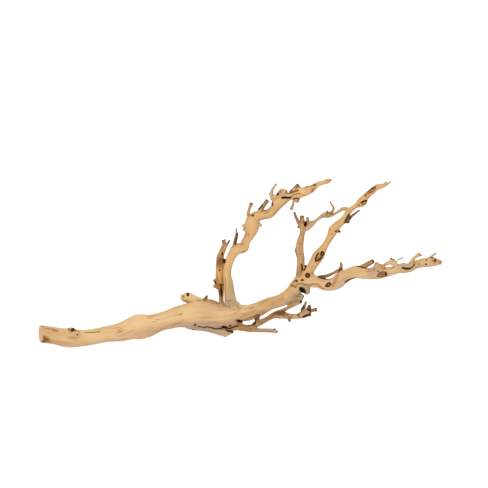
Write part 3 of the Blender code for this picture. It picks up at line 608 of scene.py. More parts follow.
# %% [markdown]
# ## Which way the grain runs
#
# Grain follows each limb, so every point of the skin needs its place on its own limb: how far along the
# run it is, and where it lies across the section. Where two limbs meet, a point gets both places and a
# share between them, so that the grain of one limb melts into that of the other, with no seam.

# %% A point's place on one limb
CHUNK = 16000


def on_limb(limb, points):
    """Rows (along, side, other) of points on one limb, and how far each stands off the limb's skin."""
    places = np.empty((len(points), 3))
    off = np.empty(len(points))
    centres = limb["centres"]
    for first in range(0, len(points), CHUNK):
        some = points[first : first + CHUNK]
        squares = (centres**2).sum(axis=1)[None, :] - 2 * some @ centres.T
        ring = squares.argmin(axis=1)
        away = some - centres[ring]
        rows = places[first : first + CHUNK]
        rows[:, 0] = limb["along"][ring] + (away * limb["steps"][ring]).sum(axis=1)
        rows[:, 1] = (away * limb["sides"][ring]).sum(axis=1)
        rows[:, 2] = (away * limb["others"][ring]).sum(axis=1)
        off[first : first + CHUNK] = np.linalg.norm(away, axis=1) - limb["radii"][ring]
    return places, off


inside_trunk = limbs[0]["centres"][60:61]
print("a point in the trunk, along it and across, mm:", in_mm(on_limb(limbs[0], inside_trunk)[0]))

# %% The two nearest limbs
LOOK_AROUND = 7 * MM
MEET_WIDTH = 5 * MM
FAR_OFF = 1.0


def nearest_two(points):
    """The numbers of the two limbs whose skins are nearest to each point, and how far off they are."""
    numbers = np.zeros((2, len(points)), np.int32)
    offs = np.full((2, len(points)), FAR_OFF)
    for number, limb in enumerate(limbs):
        margin = limb["radii"].max() + LOOK_AROUND
        low = limb["centres"].min(axis=0) - margin
        high = limb["centres"].max(axis=0) + margin
        close = np.flatnonzero(((points > low) & (points < high)).all(axis=1))
        _, off = on_limb(limb, points[close])
        first = off < offs[0, close]
        numbers[1, close[first]] = numbers[0, close[first]]
        offs[1, close[first]] = offs[0, close[first]]
        numbers[0, close[first]] = number
        offs[0, close[first]] = off[first]
        second = ~first & (off < offs[1, close])
        numbers[1, close[second]] = number
        offs[1, close[second]] = off[second]
    return numbers, offs


def meeting_share(off_here, off_there):
    """How much of the other limb's grain shows: none well on this limb, half where the two skins cross."""
    share = np.clip(0.5 - 0.5 * (off_there - off_here) / MEET_WIDTH, 0, 1)
    return share * share * (3 - 2 * share)


skin_limbs, skin_offs = nearest_two(skin_points)
skin_share = meeting_share(skin_offs[0], skin_offs[1])
print("points near a second limb:", int((skin_share > 0.01).sum()))

# %% Places on the skin, and softer meetings
# How far apart along the grain the limbs start, so that no two of them carry the same streaks.
LIMB_SPACING = 97.3
MEET_ROUNDS = 8
MEET_PULL = 0.5


def places_for(points, numbers):
    """Each point's place on the limb with its number, in mm, and how far it stands off that limb."""
    places = np.zeros((len(points), 3))
    off = np.full(len(points), FAR_OFF)
    for number in np.unique(numbers):
        mine = np.flatnonzero(numbers == number)
        places[mine], off[mine] = on_limb(limbs[number], points[mine])
        places[mine, 0] += number * LIMB_SPACING * MM
    return places / MM, off


def move_points(mesh, points):
    """Puts the mesh's points where the rows say, and gives back its new normals."""
    mesh.vertices.foreach_set("co", points.ravel())
    mesh.update()
    return rows_of(mesh.vertices, "normal", 3)


skin_places = [places_for(skin_points, numbers)[0] for numbers in skin_limbs]
grown_over = np.clip(skin_share * 2, 0, 1)[:, None]
for _ in range(MEET_ROUNDS):
    skin_points = pulled(skin_points, skin_edges, MEET_PULL * grown_over)
skin_normals = move_points(skin, skin_points)
limb_radii = np.array([np.median(limb["radii"]) for limb in limbs])
skin_radii = limb_radii[skin_limbs[0]]
print("the limbs' radii, mm:", in_mm([(limb_radii.min(), limb_radii.max())]))

# %% [markdown]
# ## Grain that can be felt
#
# Sandblasting takes the soft wood out from between the hard. What stays are long low flutes, and here and
# there a narrow furrow along the grain. Both are patterns of slanted waves, stretched along each limb, and
# they move the skin itself. Thin twigs get less of it. The finest fibres are left to the finish.

# %% Waves along the grain
def waves(seed, places, across, length, count):
    """A smooth random pattern, mostly from -1 to 1, this far across and along the grain, in mm."""
    draw = random.Random(seed)
    total = np.zeros(len(places))
    for _ in range(count):
        lean = draw.uniform(0, math.tau)
        pitch = draw.uniform(0.6, 1.4) / across
        slide = draw.uniform(-1, 1) / length
        phase = draw.uniform(0, math.tau)
        sideways = places[:, 1] * math.cos(lean) + places[:, 2] * math.sin(lean)
        total += np.sin(math.tau * (sideways * pitch + places[:, 0] * slide) + phase)
    return total / math.sqrt(count / 2)


def smooth_step(values, low, high):
    """0 below low, 1 above high, and a smooth change between."""
    share = np.clip((values - low) / (high - low), 0, 1)
    return share * share * (3 - 2 * share)


def fade(values, full, gone):
    """1 up to full, 0 past gone, and a smooth change between."""
    return 1 - smooth_step(values, full, gone)


# The width and length of each pattern in millimetres, and the number of its waves.
FLUTES = (11, 110, 9)
RIPPLES = (4.2, 46, 10)
FURROWS = (6.5, 75, 8)
OPEN_PARTS = (22, 60, 6)
FURROW_WIDTH = 0.13


def furrows_at(places):
    """How much of a furrow each place lies in: 1 in its middle. Furrows open only in some parts."""
    lines = waves("furrows", places, *FURROWS)
    open_here = smooth_step(waves("open", places, *OPEN_PARTS), 0.35, 1.1)
    return np.exp(-((lines / FURROW_WIDTH) ** 2)) * open_here


print("share of the skin in a furrow:", round(float((furrows_at(skin_places[0]) > 0.5).mean()), 3))

# %% Flutes, ripples and furrows in the skin
FLUTE_DEPTH = 0.26
RIPPLE_DEPTH = 0.14
FURROW_DEPTH = 0.38
THICK_LIMB = 7 * MM
THIN_SHARE = 0.25
THICK_SHARE = 1.25


def grain_height(places):
    """The height of the grain in millimetres, for a limb of the usual thickness."""
    flutes = waves("flutes", places, *FLUTES)
    ripples = waves("ripples", places, *RIPPLES)
    return FLUTE_DEPTH * flutes + RIPPLE_DEPTH * ripples - FURROW_DEPTH * furrows_at(places)


height_here, height_there = (grain_height(places) for places in skin_places)
height = height_here * (1 - skin_share) + height_there * skin_share
by_thickness = np.clip(skin_radii / THICK_LIMB, THIN_SHARE, THICK_SHARE)
skin_points = skin_points + skin_normals * (height * by_thickness * MM)[:, None]
skin_normals = move_points(skin, skin_points)
print("grain relief, mm:", round(float(height.min()), 2), "to", round(float(height.max()), 2))

# %% [markdown]
# ## Knots, holes and cracks
#
# The marks that give this branch its face are set out on the same sheet, counted in steps of
# 1.4 mm from its left and top edges. Each lies on the nearest skin that the viewer sees. A pit is pressed
# in and dark, a line is a crack or an edge, a ring is a knot, and a patch only changes the colour.
# Some lines and one dark patch are painted shade, and one pale patch is a painted glint.

# %% Pits
# Column, row, width, height, lean, depth in mm, darkness.
PITS = [
    (72.6, 329.9, 3.8, 2.4, 30, 3, 0.88), (72.4, 328, 2.2, 1.2, 10, 1, 0.55),
    (69, 329.3, 1.7, 1.3, 0, 0.8, 0.7), (77.5, 334.7, 1.5, 1.5, 0, 0.6, 0.7),
    (195, 325, 2.6, 1.7, 35, 1, 0.8), (192.8, 329.7, 2.2, 1, -10, 0.7, 0.75),
    (224.2, 327.2, 5, 2.2, -8, 2.4, 1), (230.2, 325.8, 2.2, 2, 0, 0.8, 0.65),
    (232.6, 331.8, 3, 2.2, 0, 0.4, 1), (240, 321.3, 6.6, 2.6, -15, 3.5, 0.95),
    (187.9, 294.3, 2.4, 3.8, 8, 4, 0.86), (183.6, 296.6, 1.4, 1.8, 0, 0.7, 0.65),
    (215.3, 282.4, 1.6, 3.4, 18, 1.3, 0.85), (219.4, 270.4, 1.4, 1.7, 0, 0.7, 0.7),
    (221.5, 291.3, 1.9, 9.8, 4, 3, 0.93), (221.2, 285, 4.4, 1.8, 0, 1, 0.7),
    (224.3, 260.6, 2.6, 4.8, 0, 1.6, 0.9), (222.3, 253.6, 1.7, 3.6, 0, 1, 0.75),
    (252.9, 215.6, 2.3, 1.6, 15, 0.8, 0.8), (277.9, 194.2, 2.2, 2, 30, 2.4, 0.95),
    (280.4, 191.8, 3, 2.2, 40, 1.6, 0.35), (315, 185.2, 1.8, 2.4, 0, 0.5, 0.5),
    (305.5, 224.2, 2.6, 4.4, -12, 5, 0.96), (302.3, 268.4, 1.6, 3, 0, 1.3, 0.6),
    (305.2, 265.6, 1.8, 2.2, -30, 0.4, 0.85), (302.3, 280.1, 2.6, 1.7, 5, 1.5, 0.95),
    # The second pit on the next line is the deep hole in the fork's crotch; its near-black is painted
    # shade.
    (296.6, 280.8, 2.2, 2.4, -30, 0.8, 0.75), (302.4, 290.2, 6.6, 3.8, -44, 1.6, 1),
    (292.5, 286.3, 1.9, 1.2, -30, 0.4, 0.45), (295.8, 287.3, 1.5, 1.5, 0, 0.4, 0.4),
    (301, 275.2, 1.7, 2.2, 0, 0.3, 0.2), (332, 233.8, 1.6, 1.8, 0, 0.3, 0.35),
    (339.4, 231.6, 2, 2.2, 0, 0.5, 0.75), (350.4, 218, 2.6, 2.8, 0, 0.5, 0.8),
    (365.6, 195.5, 1.9, 2, 0, 0.5, 0.5), (358.8, 205, 2.4, 2.2, 0, 0.4, 0.4),
    (378, 271.2, 2.2, 1.8, 0, 0.6, 0.5), (386, 274, 1.8, 3.2, 0, 1.4, 0.9),
    (368.5, 273.9, 1.6, 1.8, 0, 0.2, 0.2), (391.5, 258.2, 2.6, 1.8, 0, 0.3, 0.95),
    (393.6, 259.7, 1.7, 1.5, 0, 0.3, 0.9), (426.4, 260.1, 1.5, 1.7, 0, 0.6, 0.6),
    (426, 264.4, 1.9, 1.6, 0, 0.7, 0.75), (435.2, 260.3, 1.6, 2.8, 0, 1.3, 0.8),
    (432.3, 257.5, 2.8, 1.3, 0, 0.6, 0.65), (421, 255.1, 1.6, 1.4, 0, 0.2, 0.7),
    (285.3, 311.9, 2.6, 2.8, 0, 1.8, 0.9), (300.9, 301.3, 2, 3.4, 0, 0.6, 0.95),
    (304.8, 307.8, 2.2, 2, 0, 0.6, 0.6), (250.3, 310.6, 0.9, 0.7, 0, 0.2, 0.3),
]
print("pits:", len(PITS))

# %% Dark cracks, and strips of painted shade
# Width, depth in mm, strength, then a column and a row for every corner that the line passes.
LINES = {}
LINES["dark"] = [
    (1.2, 0.1, 0.62, 41.2, 341.4, 44.6, 341.9),
    (0.9, 1.4, 0.85, 198, 326.3, 203, 327.6, 207, 326.8, 211, 327.6, 215, 328.8, 221, 328.6),
    (1.3, 1.2, 0.8, 226, 328.2, 230, 328.6, 234, 326.8, 238, 326),
    (2.2, 1, 0.75, 225.5, 329.2, 228.5, 330.9, 232, 331.3),
    (1.5, 0.6, 0.7, 237.4, 232.8, 236.6, 238.5, 235.4, 243.8),
    (1.5, 0.5, 0.8, 258.6, 208.9, 260.4, 207.2, 262, 205.4),
    (1.2, 0.8, 0.85, 269.6, 198.8, 271.5, 200.5, 272.3, 203, 272.8, 205.4),
    (1.8, 3, 1, 282.4, 197.9, 285, 197.3, 287, 197.8), (1.7, 2, 0.95, 287, 197.8, 290.4, 197.6),
    (1.2, 0.5, 0.75, 294, 198.6, 297, 198.3, 299.5, 199.3, 300.4, 201.3),
    (1.6, 0.5, 0.6, 289.2, 192.4, 291, 190.2), (1.2, 0.2, 0.8, 295, 249.4, 295.5, 253.5, 296.8, 257.6),
    (1.6, 1.4, 0.75, 301.5, 264.4, 302.2, 267, 302.5, 269.8),
    (1.3, 0.8, 0.85, 306.4, 264.8, 305.4, 267.4, 304.4, 269.8),
    (1.6, 0.2, 0.75, 295.2, 249.2, 295.4, 252.4), (1, 0.4, 0.6, 293.4, 282.3, 295.3, 280.5),
    (1.4, 0.8, 0.82, 315.8, 261.2, 315.5, 258.4, 316.7, 255.6, 318.5, 253.2),
    (1.4, 0.8, 0.82, 316.2, 261, 318.4, 260.2, 320.3, 258.9, 321.9, 256.8),
    # The next line is painted shade along the underside of the hidden vine.
    (1.3, 0.5, 0.9, 318.3, 276.7, 322, 278.2, 325.5, 278.9, 329, 278.3, 331, 276.8),
    (1.5, 0.4, 0.75, 335.6, 272.8, 338.4, 271.6, 340, 269.5, 342.2, 268.4),
    # The next line is painted shade along the underside of the right limb.
    (1.4, 0.3, 0.8, 345.4, 282, 349, 279.8, 354.6, 278.3),
    (1.3, 1, 0.8, 344.5, 223.3, 346, 219.5, 347.6, 216.5, 349, 214.5),
    (1.2, 0.4, 0.85, 345, 223.3, 347.5, 222.5, 349.3, 220.5),
    (1.4, 1.4, 1, 361.5, 202.7, 363.5, 201.3, 366.3, 200.6, 367.6, 202),
    (1.1, 0.7, 0.62, 367.6, 191.6, 369.6, 190.3, 371.6, 189.4),
    (1.2, 1.2, 0.85, 371.4, 189.2, 374.3, 187.7, 375.6, 187.2),
    (1.1, 0.8, 0.9, 357, 265.8, 361, 267, 365.5, 268.1),
    (1.5, 0.2, 0.85, 372.6, 259.2, 373.4, 262, 374.8, 263.9),
    (0.9, 0.1, 0.6, 366, 267.6, 369, 266, 373, 264), (1.7, 1.6, 0.95, 402.8, 267.8, 406, 268.8, 410, 268.4),
    (1.1, 0.6, 0.75, 410.2, 268.2, 413, 266.5, 414.8, 264),
    (1.1, 0.2, 0.55, 402.5, 263.4, 405, 262.7, 407.4, 262.5),
    (1.6, 0.3, 0.8, 255.6, 319.4, 255.3, 322, 254, 324.6),
    (2.2, 0.2, 0.75, 249.4, 324.9, 252, 323.6, 255, 323),
    (0.8, 0.1, 0.45, 283, 316.6, 289, 317.3, 296, 316.4),
    (2.2, 0.3, 0.75, 303.4, 316.9, 306, 315.6, 309.6, 314.5),
    (1.3, 0.3, 0.7, 309.8, 307.4, 310.4, 310.5, 309.8, 313.6),
    (2, 0.2, 0.9, 300.2, 311, 302, 308.4, 303.4, 306.4),
    (1.6, 0.2, 0.9, 306.4, 306.8, 307.6, 309, 309.4, 310.4), (1.2, 0.2, 0.7, 297.6, 314.6, 299.4, 312.2),
    (1, 0.1, 0.55, 311, 308.4, 316, 308.2),
]
print("dark lines:", len(LINES["dark"]))

# %% Brown lines
# The same values as for the dark ones.
LINES["brown"] = [
    (1, 0.8, 0.68, 84.5, 332.5, 92, 332.6, 100, 331.6),
    (0.9, 0.2, 0.62, 43.4, 328.2, 48, 328.5, 52, 329.4, 57.2, 330.8),
    (2.4, 0.3, 0.5, 43.8, 336.6, 45, 338.6, 46.4, 339.6), (1.6, 0.2, 0.5, 43, 340.6, 46, 340.6, 49, 340),
    (1.4, 0.3, 0.7, 73.5, 330.8, 76.2, 330.3),
    (1, 0.2, 0.55, 193, 330.4, 203, 331.8, 215, 334.6, 223, 336.6),
    (0.8, 0.3, 0.42, 203, 329.6, 212, 331.2, 221, 333.8),
    (0.9, 0.5, 0.7, 235.3, 320.2, 237.3, 321.9, 238.2, 324),
    (0.9, 0.3, 0.5, 197, 300.3, 203, 300.6, 208, 301.4, 214, 303.6),
    (1.4, 0.2, 0.75, 219.6, 290, 219.5, 297, 219.4, 303),
    # The next line is painted shade along the base of the upright limb.
    (1, 0.4, 0.45, 225.2, 278, 225.4, 286, 225.6, 294, 225.5, 301),
    (0.9, 0.4, 0.55, 225.8, 300.9, 228.3, 301.1, 230.8, 300),
    (0.8, 0.4, 0.5, 217, 271.5, 217.6, 275.5, 217.3, 279.5),
    # The next line is painted shade under the bend of the upright limb.
    (1.1, 0.2, 0.6, 238.5, 255, 241, 254.4, 243.2, 251.4, 246, 251.4, 248.6, 249.4),
    (1.6, 0.3, 0.6, 223.4, 245.6, 222.4, 249.4), (1.2, 0.2, 0.7, 265, 199.6, 267.4, 200.3, 268.5, 201.5),
    (1, 0.9, 0.95, 289.2, 197.9, 291.6, 196.2, 294.8, 194.4, 297.4, 193.8, 299.8, 193.6),
    (0.8, 0.3, 0.45, 299.8, 193.6, 303, 194.8, 305, 196.2),
    (1.2, 0.6, 0.85, 291, 192.7, 294.4, 191.6, 297.8, 190.4), (1.2, 0.2, 0.75, 306, 187, 307.4, 186.6),
    (1.6, 0.2, 0.8, 313, 185.1, 315.4, 184.9), (1.2, 0.1, 0.55, 311, 190.6, 314, 189.2, 315.4, 186.8),
    # The next line is painted shade down the right side of the fork's left limb.
    (1.7, 0.1, 0.35, 304, 233, 303.4, 246, 304.3, 256, 303.9, 262),
    (1, 0.5, 0.45, 297.4, 273.8, 300, 272.9, 302.4, 271.2),
    (0.9, 0.1, 0.85, 330, 277.8, 333, 275.8, 336, 273.6), (1.8, 0.2, 0.85, 320.5, 276.4, 324.5, 276.6),
    (1.2, 0.3, 0.4, 332.2, 285.6, 334.4, 282.8, 335.8, 279.6),
    (1, 0.3, 0.4, 315.2, 262, 313.6, 265, 311, 269.6), (1.6, 0.4, 0.9, 335.2, 231.3, 337.6, 231.2),
    # The next line is painted shade along the upper edge of the hidden vine.
    (1.2, 0.1, 0.9, 318.6, 276.2, 323, 275.6, 327, 274.6, 332, 271.9, 337, 269.9),
    (1, 0.1, 0.75, 327, 277.2, 331, 276, 335, 273.8, 338.6, 272),
    (2.2, 0.1, 0.95, 350.4, 217.8, 353.4, 215.4, 357, 212.1, 359.7, 209.9),
    (0.9, 0.4, 0.8, 362, 204.6, 364.5, 204.2, 366.8, 202.8),
    (1.9, 0.3, 0.5, 364.6, 195, 366, 193.8, 367.4, 193),
    (1.2, 0.3, 0.5, 368.6, 192.8, 371.6, 192, 373.4, 191.4),
    (1.1, 0.1, 0.65, 367.5, 198.2, 370, 196.8, 373, 194.8), (0.9, 0.1, 0.7, 360, 265, 366, 262.5, 372, 260),
    (1, 0.2, 0.7, 376, 261.4, 378.5, 262.5, 379.6, 264.5),
    (1.3, 0.9, 1, 377.2, 276, 379, 273.4, 381.8, 271.8, 385.6, 272.2),
    (1.2, 0.3, 1, 377.6, 276.4, 381, 276.6, 385, 276.4), (1.4, 0.4, 0.45, 380.6, 274.4, 384.4, 274),
    (1.1, 0.2, 0.8, 384.3, 265.2, 384.8, 263.4, 386.2, 262.4), (1, 0.2, 0.7, 409.2, 263.3, 410, 261.7),
    (1, 0.4, 0.6, 251, 317.4, 254, 316.6, 257, 315.2, 259.6, 314.8),
    (1.4, 0.1, 0.85, 233, 329.4, 240, 330, 246, 331.2, 251, 332.3, 257, 331.8),
    (0.9, 0.1, 0.75, 257, 331.8, 264, 331.7, 273, 331.9),
    (1, 0.3, 0.7, 237, 325.6, 243, 325.8, 248, 327.6, 252, 329.4),
    (0.8, 0.2, 0.5, 241, 327.8, 246, 329.2, 250, 330.4),
    (0.9, 0.2, 0.62, 256.6, 327.6, 259.6, 323.4, 265, 320.4, 271, 316.4, 276, 313.4),
    (0.7, 0.2, 0.5, 259.4, 326.2, 262.4, 322.9, 268, 319.7, 274, 316),
    (0.8, 0.2, 0.5, 280, 317.4, 275, 317.8, 271, 318.6),
    (1, 0.1, 0.65, 259, 318.7, 264, 317.6, 270, 314.3, 275, 311.3),
    (1.3, 0.5, 0.7, 276, 312.6, 280, 314.6, 286, 315.3, 292, 314, 297, 313.8),
    (1.7, 0.6, 0.8, 298.2, 312.8, 298.5, 315, 299.2, 317),
]
print("brown lines:", len(LINES["brown"]))

# %% Lines of other tints, and rings
LINES["ochre"] = [
    (1.9, 1.6, 1, 288.4, 193.2, 293, 192.1, 297.8, 190.4),
    (1.6, 0.3, 1, 305.6, 187.1, 309, 186, 312.4, 185.1, 315.6, 184.8),
    (1.7, 0.9, 0.75, 291, 285.2, 295.3, 286.9, 297.6, 283.8, 301, 283.3, 305, 284.8, 309, 285.4),
    (1.7, 0.9, 0.75, 309, 285.4, 313, 284.2, 317, 284.2, 320, 286.7, 324, 289.2),
    (1.4, 0.2, 0.9, 368, 193.4, 372.4, 190.8, 375.4, 188.8),
]
LINES["tan"] = [
    (1.8, 0.1, 0.45, 76.5, 329.5, 79.8, 332.6, 80, 335.8, 77.4, 338.2, 72, 338.6, 69, 336.8),
    (1.6, 0.1, 0.8, 53, 329.9, 57.5, 330.9), (2.4, 0.1, 0.75, 312.4, 188.4, 312.8, 191),
    (3.2, 0.6, 0.62, 331.4, 286.8, 334, 283.4, 335.4, 280, 337.4, 276),
    # The next line is painted shade along the underside of the trunk.
    (2, 0.3, 0.75, 238, 320.2, 242, 321.3, 247, 319.3, 252, 317, 257, 315),
]
LINES["grey"] = [
    (0.9, 0.1, 0.9, 302.3, 295.4, 303.7, 297.4, 302.2, 299.2),
]
# Column, row, width, height, lean, rim, depth in mm, how brown they are inside.
RINGS = [
    (307.7, 275.4, 4.4, 4.4, 0, 0.44, 1.4, 1.0),
    (328.4, 284.8, 5.2, 3.6, 38, 0.48, 1.4, 0.55),
    (322.3, 253.6, 3.6, 4.2, -12, 0.46, 1.4, 0.95),
]
print("lines of all tints:", sum(len(rows) for rows in LINES.values()), "rings:", len(RINGS))

# %% Patches of deeper tints
# Strength, column, row, width, height, lean.
PATCHES = {}
# The one dark patch fills that hole in the fork's crotch with near-black: painted shade.
PATCHES["dark"] = [
    (1, 302.5, 290.3, 5.6, 3.4, -44),
]
PATCHES["brown"] = [
    (0.35, 45.6, 339.2, 6.4, 4, -35), (0.8, 43.2, 326, 3.4, 1.6, 0), (0.35, 71, 331.5, 8, 6, 20),
    (0.8, 205.4, 297, 5, 3, 0), (0.8, 219, 262.2, 6.5, 13, 0), (0.3, 297, 186.4, 5, 5, 0),
    (0.65, 313.2, 192.3, 4, 3, 0), (0.5, 300, 243.8, 3.6, 1.6, 0), (0.6, 299.8, 254.3, 3.2, 1.4, 0),
    (0.6, 318.6, 258, 4.2, 6.5, -28), (0.55, 329.4, 229, 2, 2.2, 0), (0.75, 347.5, 220, 2.8, 4.6, -28),
    (0.32, 364.5, 203.3, 6, 3, 15), (0.25, 370.2, 192.4, 4, 2.4, 30), (0.4, 374, 190.8, 3, 1.4, 25),
    (0.44, 382.4, 274.6, 8, 4.6, 0), (0.5, 433.8, 260.7, 3.8, 3.2, 0), (0.8, 257.3, 316.6, 5, 4.4, 0),
    (0.85, 279.6, 312.9, 9, 5, 12), (0.3, 287, 313.5, 12, 4, 0), (0.7, 309, 305.4, 3, 3, 0),
    (0.62, 327.4, 213, 3.4, 3.4, 0), (0.45, 331.2, 213.6, 3.4, 3.4, 0),
]
PATCHES["ochre"] = [
    (0.45, 228, 334, 3.4, 3.4, 0), (0.5, 219, 251, 11, 34, 0), (0.55, 219, 295, 9, 22, 0),
    (0.8, 217.4, 283, 4, 12, 0), (0.5, 293, 285, 8, 4, -20),
]
PATCHES["tan"] = [
    (0.95, 46.2, 339.2, 9, 4.6, -35), (0.4, 48, 332, 24, 12, -5), (0.35, 57, 342, 30, 5, -6),
    (0.35, 214, 322.8, 46, 3.6, -3), (0.75, 185.5, 302.2, 8, 4, 0), (0.7, 212, 301.6, 12, 2.6, -15),
    (0.8, 218.4, 292, 5, 20, 0), (0.7, 252.2, 204, 3.4, 5, 20), (0.6, 251.6, 214.6, 5, 3, 15),
    (0.6, 328.4, 181, 6, 3, 25), (0.35, 370, 192.6, 11, 5.5, 32), (0.8, 382.4, 274.6, 9, 5, 0),
    (0.7, 419, 264, 2.6, 4.2, 0), (0.6, 441, 262.6, 3, 5, 0), (0.55, 262, 313.4, 10, 4.4, 22),
    (0.7, 255.3, 327.4, 3, 4, 0), (0.3, 264, 330.6, 20, 5, 0), (0.45, 270, 315.5, 32, 9, 20),
    (0.42, 268, 303, 34, 12, 16), (0.5, 247, 313.6, 22, 3, 14), (0.7, 325, 216.4, 9, 4.4, 15),
    (0.7, 301.4, 218, 3, 4, 0), (0.18, 400, 270, 16, 4, 0), (0.45, 298, 272, 12, 8, 0),
    (0.6, 381.4, 267, 5, 7, 0), (0.5, 436, 261, 12, 9, 0),
]
print("deeper patches:", sum(len(rows) for rows in PATCHES.values()))

# %% Patches of lighter tints
# The same values as for the deeper ones.
PATCHES["orange"] = [
    (1, 221.9, 275.5, 3.6, 20, 0), (0.8, 262.7, 208.6, 3, 2, 0), (0.7, 292.5, 192.3, 4, 2, 15),
    (0.7, 356.8, 200.4, 2.2, 2.4, 0), (0.7, 306.6, 303, 2.4, 2.4, 0), (0.75, 263, 301.4, 12, 3.8, 18),
    (0.65, 274, 302.8, 8, 3, 10), (0.45, 355, 271, 22, 6, 8),
]
PATCHES["grey"] = [
    (0.38, 75, 336, 10, 8, 0), (0.5, 210, 331.5, 42, 7, -8), (0.4, 205, 325, 60, 7, -4),
    (0.72, 232, 303.5, 17, 7.5, 0), (0.62, 231, 289, 8, 24, 0), (0.15, 240, 311, 24, 6, 12),
    (0.4, 205, 310, 24, 8, 0), (0.55, 376.2, 267, 6, 10, 8), (0.35, 373.6, 270.5, 2.8, 14, 0),
    (0.62, 266, 330.6, 20, 5, 0), (0.8, 307.4, 291, 8.5, 8.5, 0), (0.72, 296, 298, 14, 12, 20),
    (0.45, 283, 302, 16, 5, 12), (0.35, 150, 331, 60, 6, 8), (0.75, 328.4, 284.8, 3, 2, 38),
    (0.44, 411, 267, 28, 9, 0),
]
PATCHES["pink"] = [
    (0.95, 212, 326, 62, 6, -4), (0.7, 236, 321, 12, 7, 0), (0.5, 318, 258.6, 4.2, 4.5, -28),
    (0.8, 372, 271, 6, 12, 0), (0.5, 305, 311.5, 9, 6, 0), (0.6, 150, 332, 60, 7, 8),
    (0.6, 344, 285, 14, 9, 0),
]
PATCHES["pale"] = [
    (0.6, 152, 319, 74, 12, 8), (0.35, 100, 334, 70, 10, 0), (0.35, 205, 309, 40, 10, 0),
    (0.5, 246, 307, 26, 9, 12), (0.7, 192, 298, 16, 8, -20), (0.7, 217.8, 271, 4, 11, 0),
    # The second patch on the next line is a painted white glint.
    (0.9, 300.5, 190.4, 7, 3.4, -20), (1, 303.6, 191.6, 3.2, 2.2, 20), (0.5, 314.5, 266, 8, 13, -30),
    (0.6, 376, 268, 10, 8, 0), (0.5, 305, 311.5, 9, 6, 0), (0.6, 372, 186, 8, 3, 30),
    (0.35, 385, 301, 2, 2, 0),
]
print("patches of all tints:", sum(len(rows) for rows in PATCHES.values()))

# %% [markdown]
# ## Finding where a mark lies
#
# Each mark is a small shape on the sheet. The skin's points are drawn on the sheet too, so the distance
# between the two is plain arithmetic. Only the nearest skin that faces the viewer takes the mark, not a
# limb behind it.

# %% The skin as drawn on the sheet
SHEET_LEFT = 70
SHEET_FOOT = 347
MOST_TURNED_AWAY = 0.35
LEAST_SHARE = 0.02
OVAL_EDGE = 1.15
LINE_CORE = 0.25
LINE_EDGE = 0.72


class Drawn:
    """A skin's points on the sheet, in steps from its left and top edges."""

    def __init__(self, points, normals):
        across, up, reach = drawn_at(points)
        self.column = across / STEP_MM + SHEET_LEFT
        self.row = SHEET_FOOT - up / STEP_MM
        self.reach = reach / MM
        self.seen = normals @ FORWARD < MOST_TURNED_AWAY

    def near(self, column, row, size):
        """The numbers of the points that may lie under a mark of this size."""
        close = (np.abs(self.column - column) < size) & (np.abs(self.row - row) < size)
        return np.flatnonzero(close & self.seen)

    def front(self, chosen, shares, thickness):
        """Of the chosen points, only those on the nearest skin, this many millimetres thick."""
        kept = shares > LEAST_SHARE
        if kept.any():
            nearest = self.reach[chosen[kept]].min()
            kept &= self.reach[chosen] < nearest + thickness
        return chosen[kept], shares[kept]

    def from_middle(self, chosen, shape):
        """Distance from the middle of an oval (column, row, width, height, lean), 1 on its outline."""
        column, row, width, height, lean = shape
        turn = math.radians(lean)
        right = self.column[chosen] - column
        high = row - self.row[chosen]
        along = right * math.cos(turn) + high * math.sin(turn)
        aside = high * math.cos(turn) - right * math.sin(turn)
        return np.hypot(along / (width / 2), aside / (height / 2))

    def oval(self, shape, edge, thickness, grown=1.0):
        """The points under an oval grown this many times, and how far inside: 1 in its middle."""
        column, row, width, height, lean = shape
        shape = (column, row, width * grown, height * grown, lean)
        chosen = self.near(column, row, max(width, height) * grown)
        away = self.from_middle(chosen, shape)
        shares = fade(away, OVAL_EDGE - edge, OVAL_EDGE + edge / 2)
        return self.front(chosen, shares, thickness)

    def line(self, stops, width, thickness):
        """The points under a line through these columns and rows, stretch by stretch."""
        corners = list(zip(stops[::2], stops[1::2]))
        for (x0, y0), (x1, y1) in zip(corners, corners[1:]):
            length = math.hypot(x1 - x0, y1 - y0)
            chosen = self.near((x0 + x1) / 2, (y0 + y1) / 2, length / 2 + width)
            column = self.column[chosen] - x0
            row = self.row[chosen] - y0
            share = np.clip((column * (x1 - x0) + row * (y1 - y0)) / length**2, 0, 1)
            away = np.hypot(column - share * (x1 - x0), row - share * (y1 - y0))
            shares = fade(away, width * LINE_CORE, width * LINE_EDGE)
            yield self.front(chosen, shares, thickness)


drawn_skin = Drawn(skin_points, skin_normals)
print("points that face the viewer:", int(drawn_skin.seen.sum()))

# %% [markdown]
# ## The sides that the viewer doesn't see
#
# The back, the top and the underside need marks of their own, or the branch would look blank from there. A
# seeded draw picks points that face away and gives each a crack along the grain, a small pit or a knot.

